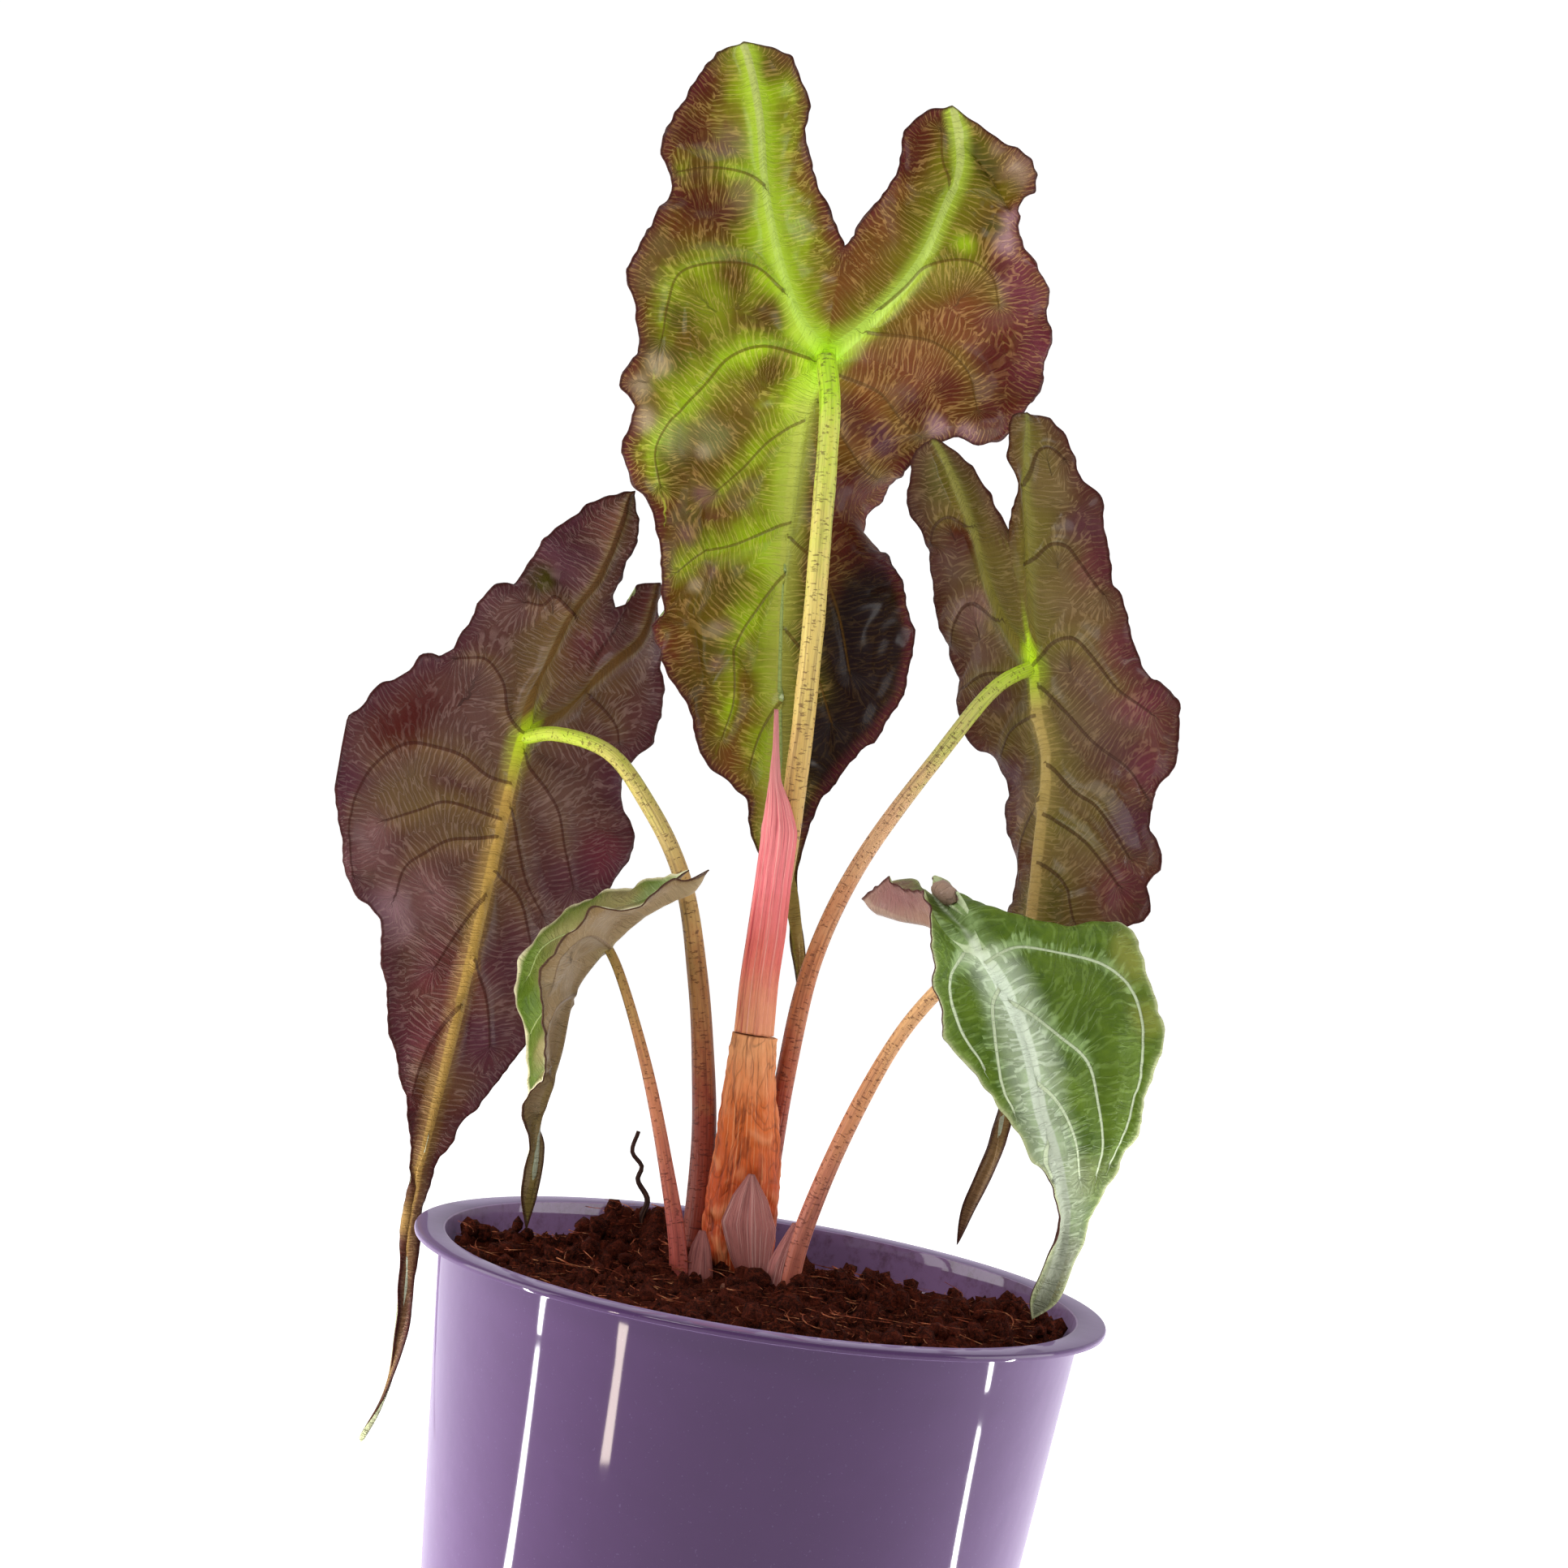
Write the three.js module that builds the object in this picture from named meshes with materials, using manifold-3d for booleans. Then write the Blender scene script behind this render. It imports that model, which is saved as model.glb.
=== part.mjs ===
import * as THREE from "three";
import { mergeVertices } from "three/addons/utils/BufferGeometryUtils.js";
import Module from "manifold-3d";

// Potted venom alocasia: a nursery pot of soil with five arrow-shaped leaves on tall stalks.
// Millimetres. The origin is the centre of the pot's underside, +Z is up and -Y faces the viewer.

// Driving dimensions of the pot
const POT_HEIGHT = 110;
const FLANGE_RADIUS = 64.5;
const FLANGE_THICKNESS = 1.3;
const WALL_TOP_RADIUS = 60;
const WALL_FOOT_RADIUS = 49.4;
const WALL = 1.2;
const FLOOR = 1.6;
const LEDGE_DEPTH = 8.5;
const LEDGE_WIDTH = 0.8;
const DRAIN_HOLES = 6;
const DRAIN_RADIUS = 4;
const DRAIN_CIRCLE = 32;
const POT_SIDES = 48;

// Driving dimensions of the plant
const GAP = 0.3;
const BLADE = 0.8;
const VEIN_RELIEF = 0.55;
const RIB_RELIEF = 1.2;
const PUCKER = 1.0;
const VEIN_FLANK = 0.025;
const ROW_STEP = 0.17;
const BLADE_COLUMNS = [0, 0.1, 0.38, 0.68, 1];
const WEB_COLUMNS = [0, 0.4, 1];
const STALK_SIDES = 8;

// Driving dimensions of the soil
const SOIL_FLOOR = 5;
const SOIL_LEVEL = 107.4;
const SOIL_BACK_DROP = 7.5;
const SOIL_RINGS = [9, 18, 27, 36, 45, 52];
const SOIL_SECTORS = 32;
const STALK_FOOT = 97;

const wasm = await Module();
wasm.setup();

// Solids

function toSolid(geometry) {
  const bare = geometry.clone();
  bare.deleteAttribute("normal");
  bare.deleteAttribute("uv");
  const merged = mergeVertices(bare, 1e-4);
  return new wasm.Manifold(new wasm.Mesh({
    numProp: 3,
    vertProperties: new Float32Array(merged.attributes.position.array),
    triVerts: new Uint32Array(merged.index.array),
  }));
}

function toGeometry(solid) {
  const mesh = solid.getMesh();
  const geometry = new THREE.BufferGeometry();
  geometry.setAttribute("position", new THREE.BufferAttribute(mesh.vertProperties, 3));
  geometry.setIndex(new THREE.BufferAttribute(mesh.triVerts, 1));
  return geometry;
}

function indexedGeometry(points, faces) {
  const geometry = new THREE.BufferGeometry();
  geometry.setFromPoints(points);
  geometry.setIndex(faces.flat());
  return geometry;
}

function piece(name, geometry, colour, roughness) {
  const material = new THREE.MeshStandardMaterial({ color: colour, roughness, metalness: 0 });
  const mesh = new THREE.Mesh(geometry, material);
  mesh.name = name;
  return mesh;
}

function curveThrough(points) {
  return new THREE.CatmullRomCurve3(points.map((p) => new THREE.Vector3(...p)));
}

// Closes a stack of rings, each with the same number of points, with a fan at both ends.
function closeRings(rings) {
  const sides = rings[0].length;
  const points = rings.flat();
  const faces = [];
  for (let ring = 0; ring + 1 < rings.length; ring += 1) {
    for (let side = 0; side < sides; side += 1) {
      const a = ring * sides + side;
      const b = ring * sides + ((side + 1) % sides);
      faces.push([a, b, b + sides], [a, b + sides, a + sides]);
    }
  }
  const last = (rings.length - 1) * sides;
  for (let side = 1; side + 1 < sides; side += 1) {
    faces.push([0, side + 1, side], [last, last + side, last + side + 1]);
  }
  return indexedGeometry(points, faces);
}

// A round stalk along a curve: radii are given at the foot and at the top.
function stalkGeometry(stalk, extra = 0) {
  const path = curveThrough(stalk.path);
  const frames = path.computeFrenetFrames(stalk.steps, false);
  const rings = [];
  for (let step = 0; step <= stalk.steps; step += 1) {
    const along = step / stalk.steps;
    const centre = path.getPointAt(along);
    const radius = stalk.top + (stalk.foot - stalk.top) * (1 - along) ** 1.6 + extra;
    const ring = [];
    for (let side = 0; side < STALK_SIDES; side += 1) {
      const turn = (2 * Math.PI * side) / STALK_SIDES;
      const spoke = frames.normals[step].clone().multiplyScalar(Math.cos(turn) * radius);
      spoke.addScaledVector(frames.binormals[step], Math.sin(turn) * radius);
      ring.push(centre.clone().add(spoke));
    }
    rings.push(ring);
  }
  return closeRings(rings);
}

// A standing sheath: level elliptical sections, each [x, y, z, half width, half depth].
function sheathGeometry(sections, sides, extra = 0) {
  const rings = sections.map(([x, y, z, width, depth]) => {
    const ring = [];
    for (let side = 0; side < sides; side += 1) {
      const turn = (2 * Math.PI * side) / sides;
      const across = (width + extra) * Math.cos(turn);
      const deep = (depth + extra) * Math.sin(turn);
      ring.push(new THREE.Vector3(x + across, y + deep, z));
    }
    return ring;
  });
  return closeRings(rings);
}

// Leaf blades

// A half is one side of the midrib. Its rib runs from the joint into the back lobe, its margin from
// the tip to the lobe's end, and its inner margin from the notch to the lobe's end. "shows" is 1
// where spine x margin points out of the upper face and -1 where it points out of the underside.
// "sweep" is the share of the margin that lies below the joint's own side vein.
const LARGE_LEAF = {
  veins: [0.3, 0.46, 0.62, 0.78, 0.93, 1.3, 1.62],
  midrib: [[1, 13, 154], [0, 12, 162], [-2, 12, 170], [-5, 12, 179], [-9, 15, 188], [-12, 22, 206],
    [-15, 25, 228], [-17, 24, 249], [-17, 19, 271], [-14, 15, 280]],
  notch: [-14, 20, 302],
  halves: [
    {
      shows: -1,
      sweep: [0.55, 1.35],
      rib: [[-14, 15, 280], [-20, 17, 286], [-30, 25, 309], [-34, 29, 325], [-38, 31, 340]],
      margin: [[1, 13, 154], [-4, 11, 170], [-7, 12, 181], [-13, 14, 186], [-17, 15, 196],
        [-25, 14, 201], [-28, 12, 208], [-35, 11, 218], [-39, 14, 225], [-38, 11, 231],
        [-42, 9, 245], [-49, 13, 255], [-48, 9, 264], [-51, 6, 269], [-49, 10, 277],
        [-53, 12, 288], [-52, 14, 296], [-48, 21, 307], [-51, 19, 314], [-50, 23, 322],
        [-45, 27, 332], [-38, 31, 340]],
      inner: [[-14, 20, 302], [-19, 22, 311], [-23, 25, 321], [-26, 28, 332], [-31, 30, 339],
        [-38, 31, 340]],
    },
    {
      shows: 1,
      sweep: [0.62, 1.25],
      rib: [[-14, 15, 280], [-8, 19, 287], [0, 25, 300], [4, 29, 312], [6, 30, 321], [3, 28, 333]],
      margin: [[1, 13, 154], [0, 12, 166], [-4, 13, 183], [-3, 17, 193], [1, 20, 203], [9, 17, 215],
        [11, 16, 224], [10, 18, 233], [7, 24, 241], [-1, 38, 251], [1, 40, 257], [6, 31, 266],
        [12, 30, 270], [22, 33, 271], [27, 36, 283], [28, 36, 292], [26, 34, 303], [20, 27, 309],
        [18, 21, 315], [21, 26, 319], [20, 30, 324], [14, 31, 328], [3, 28, 333]],
      inner: [[-14, 20, 302], [-10, 21, 309], [-6, 23, 319], [-6, 25, 326], [-2, 27, 331],
        [3, 28, 333]],
    },
  ],
};

const LEFT_LEAF = {
  veins: [0.42, 0.54, 0.66, 0.78, 0.91, 1.3, 1.65],
  midrib: [[-70, 12, 64], [-66, 13, 75], [-66, 18, 91], [-68, 19, 109], [-65, 17, 143],
    [-63, 18, 170], [-62, 20, 186], [-61, 22, 200]],
  notch: [-47, 30, 228],
  halves: [
    {
      shows: -1,
      sweep: [0.6, 1.0],
      rib: [[-61, 22, 200], [-61, 23, 206], [-59, 25, 213], [-56, 27, 224], [-51, 28, 234],
        [-47, 28, 251]],
      margin: [[-70, 12, 64], [-67, 12, 72], [-67, 14, 85], [-68, 17, 97], [-68, 19, 106],
        [-70, 16, 123], [-76, 12, 142], [-79, 10, 154], [-81, 8, 163], [-87, 7, 168],
        [-91, 6, 180], [-93, 7, 191], [-92, 9, 199], [-88, 11, 205], [-81, 15, 212],
        [-76, 18, 215], [-73, 19, 222], [-70, 20, 228], [-65, 23, 231], [-62, 23, 239],
        [-58, 24, 244], [-53, 26, 248], [-47, 28, 251]],
      inner: [[-47, 30, 228], [-48, 30, 231], [-46, 30, 237], [-45, 29, 245], [-47, 28, 251]],
    },
    {
      shows: 1,
      sweep: [0.67, 1.0],
      rib: [[-61, 22, 200], [-56, 25, 204], [-51, 29, 211], [-46, 31, 217], [-42, 33, 222],
        [-40, 34, 234]],
      margin: [[-70, 12, 64], [-66, 12, 74], [-64, 14, 86], [-65, 18, 97], [-66, 20, 109],
        [-62, 21, 123], [-56, 22, 132], [-52, 24, 141], [-47, 27, 156], [-41, 29, 172],
        [-37, 31, 179], [-37, 32, 184], [-42, 34, 196], [-37, 36, 203], [-36, 37, 213],
        [-38, 37, 224], [-40, 34, 234]],
      inner: [[-47, 30, 228], [-45, 31, 229], [-44, 32, 233], [-40, 34, 234]],
    },
  ],
};

const RIGHT_LEAF = {
  veins: [0.36, 0.5, 0.63, 0.76, 0.9, 1.3, 1.62],
  midrib: [[36, 13, 118], [38, 14, 127], [42, 17, 142], [42, 18, 170], [41, 19, 195],
    [40, 21, 212], [37, 22, 220], [35, 22, 229]],
  notch: [25, 24, 254],
  halves: [
    {
      shows: -1,
      sweep: [0.6, 1.0],
      rib: [[35, 22, 229], [32, 23, 231], [25, 25, 241], [21, 26, 250], [14, 25, 262],
        [9, 24, 269]],
      margin: [[36, 13, 118], [36, 14, 125], [40, 17, 138], [41, 20, 158], [39, 22, 170],
        [38, 24, 179], [39, 25, 185], [35, 28, 196], [33, 31, 207], [30, 33, 210],
        [26, 34, 212], [22, 35, 220], [21, 35, 225], [15, 34, 236], [13, 33, 243],
        [11, 31, 250], [7, 29, 254], [6, 27, 260], [6, 25, 266], [9, 24, 269]],
      inner: [[25, 24, 254], [21, 25, 261], [17, 25, 265], [12, 24, 268], [9, 24, 269]],
    },
    {
      shows: 1,
      sweep: [0.62, 1.2],
      rib: [[35, 22, 229], [34, 22, 234], [32, 21, 244], [30, 20, 254], [28, 20, 263],
        [26, 22, 277]],
      margin: [[36, 13, 118], [38, 14, 124], [42, 16, 136], [47, 15, 158], [52, 13, 171],
        [58, 11, 182], [62, 8, 186], [61, 9, 191], [63, 7, 195], [60, 11, 203], [60, 11, 208],
        [62, 7, 213], [62, 7, 222], [61, 7, 226], [54, 12, 231], [49, 15, 243], [46, 16, 247],
        [44, 16, 254], [42, 17, 261], [38, 18, 265], [33, 19, 273], [26, 22, 277]],
      inner: [[25, 24, 254], [26, 23, 260], [24, 23, 270], [23, 22, 275], [26, 22, 277]],
    },
  ],
};

const SMALL_LEFT_LEAF = {
  veins: [0.5, 0.68, 0.86, 1.4],
  midrib: [[-44, -5, 111], [-45, -4, 124], [-46, -4, 132], [-44, -4, 144], [-43, -3, 157],
    [-38, -2, 166]],
  notch: [-31, -1, 174],
  halves: [
    {
      shows: -1,
      sweep: [0.54, 1.0],
      rib: [[-38, -2, 166], [-34, -3, 171], [-29, -6, 175], [-24, -8, 179], [-21, -9, 182]],
      margin: [[-44, -5, 111], [-46, -6, 118], [-46, -7, 126], [-48, -9, 135], [-45, -13, 142],
        [-47, -18, 154], [-48, -19, 160], [-46, -19, 165], [-40, -19, 172], [-33, -16, 175],
        [-28, -13, 179], [-21, -9, 182]],
      inner: [[-31, -1, 174], [-27, -4, 178], [-21, -9, 182]],
    },
    {
      shows: 1,
      sweep: [0.54, 1.0],
      rib: [[-38, -2, 166], [-35, 1, 171], [-31, 4, 176], [-25, 5, 181]],
      margin: [[-44, -5, 111], [-43, -4, 118], [-43, -3, 126], [-48, 1, 134], [-50, 8, 143],
        [-54, 12, 153], [-54, 13, 158], [-51, 13, 165], [-47, 13, 170], [-40, 11, 174],
        [-33, 8, 178], [-25, 5, 181]],
      inner: [[-31, -1, 174], [-29, 1, 177], [-25, 5, 181]],
    },
  ],
};

const SMALL_RIGHT_LEAF = {
  veins: [0.34, 0.55, 0.75, 0.92, 1.45],
  midrib: [[49, -22, 112], [52, -24, 123], [52, -26, 130], [48, -31, 142], [44, -32, 150],
    [40, -31, 161], [35, -27, 170], [30, -24, 176]],
  notch: [20, -7, 184],
  halves: [
    {
      shows: 1,
      sweep: [0.6, 1.1],
      rib: [[30, -24, 176], [24, -24, 178], [21, -22, 180], [15, -15, 180], [8, -7, 181]],
      margin: [[49, -22, 112], [48, -24, 116], [49, -25, 121], [51, -27, 129], [48, -30, 137],
        [41, -31, 145], [32, -31, 154], [26, -32, 160], [22, -35, 170], [20, -36, 180],
        [19, -34, 184], [16, -26, 185], [12, -16, 186], [8, -7, 181]],
      inner: [[20, -7, 184], [16, -2, 186], [11, -3, 184], [8, -7, 181]],
    },
    {
      shows: -1,
      sweep: [0.62, 1.1],
      rib: [[30, -24, 176], [26, -18, 182], [22, -10, 185], [21, 0, 187]],
      margin: [[49, -22, 112], [53, -22, 116], [56, -22, 128], [58, -24, 137], [62, -26, 148],
        [63, -25, 160], [64, -24, 166], [61, -21, 174], [55, -14, 184], [48, -12, 182],
        [38, -10, 180], [28, -4, 184], [21, 0, 187]],
      inner: [[20, -7, 184], [20, -3, 187], [21, 0, 187]],
    },
  ],
};

// Rows across a blade run from 0 at the tip over 1 at the joint to 2 at the lobe's end. Each side
// vein has a row with a close one on both sides, and the stretches between are split evenly.
function bladeRows(veins) {
  const veinRows = veins.flatMap((vein) => [vein - VEIN_FLANK, vein, vein + VEIN_FLANK]);
  const fixed = [0, 1, 2, ...veinRows].sort((a, b) => a - b);
  return fixed.flatMap((row, index) => {
    const next = fixed[index + 1] ?? row;
    const parts = next - row > 2 * VEIN_FLANK ? Math.max(2, Math.ceil((next - row) / ROW_STEP)) : 1;
    return Array.from({ length: parts }, (_, part) => row + ((next - row) * part) / parts);
  });
}

// How far a point between two side veins is from the nearer one: 0 on a vein and 1 midway.
function betweenVeins(veins, row) {
  const ends = [0, ...veins, 2];
  const index = Math.max(1, ends.findIndex((end) => row <= end));
  return Math.sin((Math.PI * (row - ends[index - 1])) / (ends[index] - ends[index - 1]));
}

function marginShare(half, row) {
  const [atJoint, power] = half.sweep;
  return row < 1 ? atJoint * row ** power : atJoint + (1 - atJoint) * (row - 1);
}

// The margin with its small waves averaged away, so that these fade out towards the midrib.
function smoothMargin(margin, share) {
  const reach = Math.min(0.06, share, 1 - share);
  const sum = new THREE.Vector3();
  [-1, -0.5, 0, 0.5, 1].forEach((offset) => sum.add(margin.getPointAt(share + offset * reach)));
  return sum.multiplyScalar(0.2);
}

// The middle surface of a blade, as points with their swelling and relief, and triangles.
function bladeSheet(leaf) {
  const rows = bladeRows(leaf.veins);
  const jointRow = rows.indexOf(1);
  const lastRow = rows.length - 1;
  const sheet = { points: [], swell: [], relief: [], faces: [] };
  const ids = new Map();
  const vertex = (key, point, swell, relief) => {
    if (!ids.has(key)) {
      ids.set(key, sheet.points.length);
      sheet.points.push(point);
      sheet.swell.push(swell);
      sheet.relief.push(relief);
    }
    return ids.get(key);
  };
  const quads = (grid, shows) => {
    for (let i = 0; i + 1 < grid.length; i += 1) {
      for (let j = 0; j + 1 < grid[i].length; j += 1) {
        const corners = [grid[i][j], grid[i + 1][j], grid[i + 1][j + 1], grid[i][j + 1]];
        if (shows < 0) corners.reverse();
        [[0, 1, 2], [0, 2, 3]].forEach((turn) => {
          const face = turn.map((corner) => corners[corner]);
          if (new Set(face).size === 3) sheet.faces.push(face);
        });
      }
    }
  };

  const midrib = curveThrough(leaf.midrib);
  leaf.halves.forEach((half, side) => {
    const rib = curveThrough(half.rib);
    const margin = curveThrough(half.margin);
    const inner = curveThrough(half.inner);
    const spine = (row) => (row <= 1 ? midrib.getPointAt(row) : rib.getPointAt(row - 1));
    const ribRelief = (row) => RIB_RELIEF * (row < 1 ? row : 1.6 - 0.6 * row);

    const outer = rows.map((row, i) => BLADE_COLUMNS.map((across, j) => {
      if (i === 0) return vertex("tip", midrib.getPointAt(0), 0, 0);
      if (i === lastRow) return vertex(`end ${side}`, rib.getPointAt(1), 0, 0);
      if (j === 0) return vertex(i <= jointRow ? `midrib ${i}` : `rib ${side} ${i}`, spine(row), 0, ribRelief(row));
      const arch = 0.16 * across * (1 - across) * Math.sin((Math.PI * row) / 2);
      const bent = row + arch;
      const share = marginShare(half, bent);
      const edge = smoothMargin(margin, share);
      const wave = margin.getPointAt(share).sub(edge).multiplyScalar(across ** 3);
      const point = spine(bent).lerp(edge, across).add(wave);
      const swell = PUCKER * betweenVeins(leaf.veins, row) * Math.sin(Math.PI * across);
      const relief = leaf.veins.includes(row) ? VEIN_RELIEF * (1.1 - across) : 0;
      return vertex(`outer ${side} ${i} ${j}`, point, swell, relief);
    }));
    quads(outer, half.shows);

    const web = rows.slice(jointRow).map((row, k) => WEB_COLUMNS.map((across, j) => {
      const i = jointRow + k;
      if (i === lastRow) return vertex(`end ${side}`, rib.getPointAt(1), 0, 0);
      if (j === 0) return vertex(k === 0 ? `midrib ${i}` : `rib ${side} ${i}`, spine(row), 0, ribRelief(row));
      const point = spine(row).lerp(inner.getPointAt(row - 1), across);
      const swell = 0.5 * PUCKER * Math.sin(Math.PI * across);
      return vertex(k === 0 ? `seam ${j}` : `web ${side} ${i} ${j}`, point, k === 0 ? 0 : swell, 0);
    }));
    quads(web, -half.shows);
  });
  return sheet;
}

function vertexNormals(points, faces) {
  const normals = points.map(() => new THREE.Vector3());
  faces.forEach(([a, b, c]) => {
    const first = points[b].clone().sub(points[a]);
    const normal = first.cross(points[c].clone().sub(points[a]));
    [a, b, c].forEach((id) => normals[id].add(normal));
  });
  return normals.map((normal) => normal.normalize());
}

function boundaryEdges(faces) {
  const seen = new Set(faces.flatMap(([a, b, c]) => [`${a} ${b}`, `${b} ${c}`, `${c} ${a}`]));
  const edges = faces.flatMap(([a, b, c]) => [[a, b], [b, c], [c, a]]);
  return edges.filter(([a, b]) => !seen.has(`${b} ${a}`));
}

function bladeGeometry(leaf, extra = 0) {
  const sheet = bladeSheet(leaf);
  const bare = vertexNormals(sheet.points, sheet.faces);
  const middle = sheet.points.map((p, id) => p.clone().addScaledVector(bare[id], sheet.swell[id]));
  const normals = vertexNormals(middle, sheet.faces);
  const half = BLADE / 2 + extra;
  const upper = middle.map((p, id) => p.clone().addScaledVector(normals[id], half));
  const under = middle.map((p, id) => p.clone().addScaledVector(normals[id], -half - sheet.relief[id]));
  const count = middle.length;
  const faces = sheet.faces.flatMap(([a, b, c]) => [[a, b, c], [a + count, c + count, b + count]]);
  boundaryEdges(sheet.faces).forEach(([a, b]) => {
    faces.push([b, a, a + count], [b, a + count, b + count]);
  });
  return indexedGeometry([...upper, ...under], faces);
}

// Stalks, from the soil to each blade's joint

const LARGE_STALK = {
  steps: 18,
  foot: 2.5,
  top: 2.0,
  path: [[-6, -0.5, STALK_FOOT], [-6.5, 0, 125], [-7.6, 1.2, 150], [-7.6, 3, 172], [-7.2, 5, 192],
    [-8, 6, 219], [-10, 8, 249], [-12, 11, 272], [-14, 15, 280]],
};

const LEFT_STALK = {
  steps: 20,
  foot: 3.0,
  top: 1.4,
  path: [[-12.6, 0.5, STALK_FOOT], [-13.2, 3, 121], [-15, 6, 137], [-20, 10, 161], [-26, 14, 179],
    [-34, 15, 191], [-43, 15, 200], [-54, 18, 202], [-61, 22, 200]],
};

const RIGHT_STALK = {
  steps: 18,
  foot: 2.4,
  top: 1.4,
  path: [[-2, 5, STALK_FOOT], [-1.5, 5.5, 120], [-1, 6, 143], [1, 7, 168], [7, 10, 187],
    [18, 13, 208], [28, 18, 224], [35, 22, 229]],
};

const SMALL_LEFT_STALK = {
  steps: 12,
  foot: 2.0,
  top: 0.9,
  path: [[-14, -12, STALK_FOOT], [-15, -11.5, 110], [-21, -9, 130], [-28, -6, 148], [-35, -3, 162],
    [-38, -2, 166]],
};

const SMALL_RIGHT_STALK = {
  steps: 14,
  foot: 2.1,
  top: 1.3,
  path: [[5, -14, STALK_FOOT], [5.5, -14, 115], [8, -14, 128], [13, -14, 145], [19, -15.5, 160],
    [26, -19, 171], [30, -24, 176]],
};

// Sheaths round the foot of the stalks, and the wings at the feet of the two small ones

const PINK_SHEATH = [[-8.1, 0.6, 153, 3.6, 3.3], [-8.6, 0.8, 163, 3.5, 3.3], [-8.6, 1, 172, 3.5, 3.2],
  [-8.8, 1.3, 182, 3.3, 3], [-9.1, 1.8, 191, 3.3, 2.6], [-10.1, 2.1, 196, 2.2, 1.6],
  [-11.2, 2.2, 200, 1.1, 0.9], [-12, 2, 206, 0.6, 0.6], [-13, 1.5, 213, 0.4, 0.4]];

const PAPERY_SHEATH = [[-4.2, -1, 103, 4.6, 4.6], [-4.4, -1, 108, 5, 5], [-5, -1, 115, 6.6, 5.5],
  [-5.4, -0.8, 124, 6.6, 5.4], [-5.8, -0.6, 131, 6, 5], [-7, -0.2, 143, 4.7, 4.4],
  [-7.8, 0.4, 152.7, 4, 3.7]];

const BASE_SHEATH = [[-1.2, -9, 103, 1.9, 1.3], [-1.3, -9, 108.5, 2.3, 1.5], [-2.4, -8.9, 113, 3.7, 1.6],
  [-3.6, -8.6, 119, 5, 1.4], [-4.1, -8.1, 124, 3.2, 1.1], [-4.5, -7.6, 128.2, 0.6, 0.5]];

const SMALL_LEFT_WING = [[-12, -10.8, 101, 2, 1.7], [-11.4, -10.4, 109, 2.7, 1.8],
  [-11.6, -10.1, 114, 1.8, 1.3], [-11.8, -10, 117, 0.6, 0.5]];

const SMALL_RIGHT_WING = [[3.6, -13.4, 101, 2.2, 1.8], [3.2, -13.2, 108, 2.5, 1.9],
  [3.4, -13.2, 114, 2.3, 1.7], [4.8, -13.8, 121.5, 0.7, 0.7]];

const DEAD_ROOT = {
  steps: 6,
  foot: 0.9,
  top: 0.6,
  path: [[-22, 10, 108], [-23.4, 10, 118], [-25, 10, 122], [-27, 10, 127], [-27, 10, 130.5]],
};

const BARK_CHIP = { at: [-4, -17, 108.4], size: [7, 3.4, 1.8], turn: 0.25, tilt: 0.12 };

// Pot and soil

function wallRadius(height) {
  return WALL_FOOT_RADIUS + ((WALL_TOP_RADIUS - WALL_FOOT_RADIUS) * height) / POT_HEIGHT;
}

function turned(profile, sides) {
  const points = profile.map(([radius, height]) => new THREE.Vector2(radius, height));
  return new THREE.LatheGeometry(points, sides).rotateX(Math.PI / 2);
}

function potGeometry() {
  const flangeUnder = POT_HEIGHT - FLANGE_THICKNESS;
  const ledge = POT_HEIGHT - LEDGE_DEPTH;
  const inside = (height) => wallRadius(height) - WALL;
  let pot = toSolid(turned([
    [0, 0],
    [wallRadius(0) - 1, 0],
    [wallRadius(1), 1],
    [wallRadius(flangeUnder), flangeUnder],
    [FLANGE_RADIUS, flangeUnder],
    [FLANGE_RADIUS, POT_HEIGHT - 0.4],
    [FLANGE_RADIUS - 0.4, POT_HEIGHT],
    [inside(POT_HEIGHT), POT_HEIGHT],
    [inside(ledge), ledge],
    [inside(ledge) - LEDGE_WIDTH, ledge - 0.4],
    [inside(ledge) - LEDGE_WIDTH, ledge - 1],
    [inside(ledge - 1.6), ledge - 1.6],
    [inside(FLOOR), FLOOR],
    [0, FLOOR],
  ], POT_SIDES));
  for (let hole = 0; hole < DRAIN_HOLES; hole += 1) {
    const angle = (2 * Math.PI * (hole + 0.5)) / DRAIN_HOLES;
    const drill = new THREE.CylinderGeometry(DRAIN_RADIUS, DRAIN_RADIUS, 3 * FLOOR, 14);
    drill.rotateX(Math.PI / 2);
    drill.translate(DRAIN_CIRCLE * Math.cos(angle), DRAIN_CIRCLE * Math.sin(angle), FLOOR / 2);
    pot = pot.subtract(toSolid(drill));
  }
  return toGeometry(pot);
}

function hump(x, y, [atX, atY, height, spread]) {
  return height * Math.exp(-((x - atX) ** 2 + (y - atY) ** 2) / (2 * spread ** 2));
}

const SOIL_HUMPS = [[-24, 13, 10, 8], [20, 10, 3, 6], [42, 6, 2, 6], [0, 0, 2.2, 16]];

function soilHeight(x, y) {
  const back = Math.min(1, Math.max(0, (y + 4) / 44));
  const fall = SOIL_BACK_DROP * back * back * (3 - 2 * back);
  const lumps = 0.5 * Math.sin(0.9 * x + 1.3) * Math.cos(0.8 * y) + 0.3 * Math.sin(0.37 * x * y * 0.1);
  return SOIL_LEVEL - fall + lumps + SOIL_HUMPS.reduce((sum, one) => sum + hump(x, y, one), 0);
}

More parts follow.
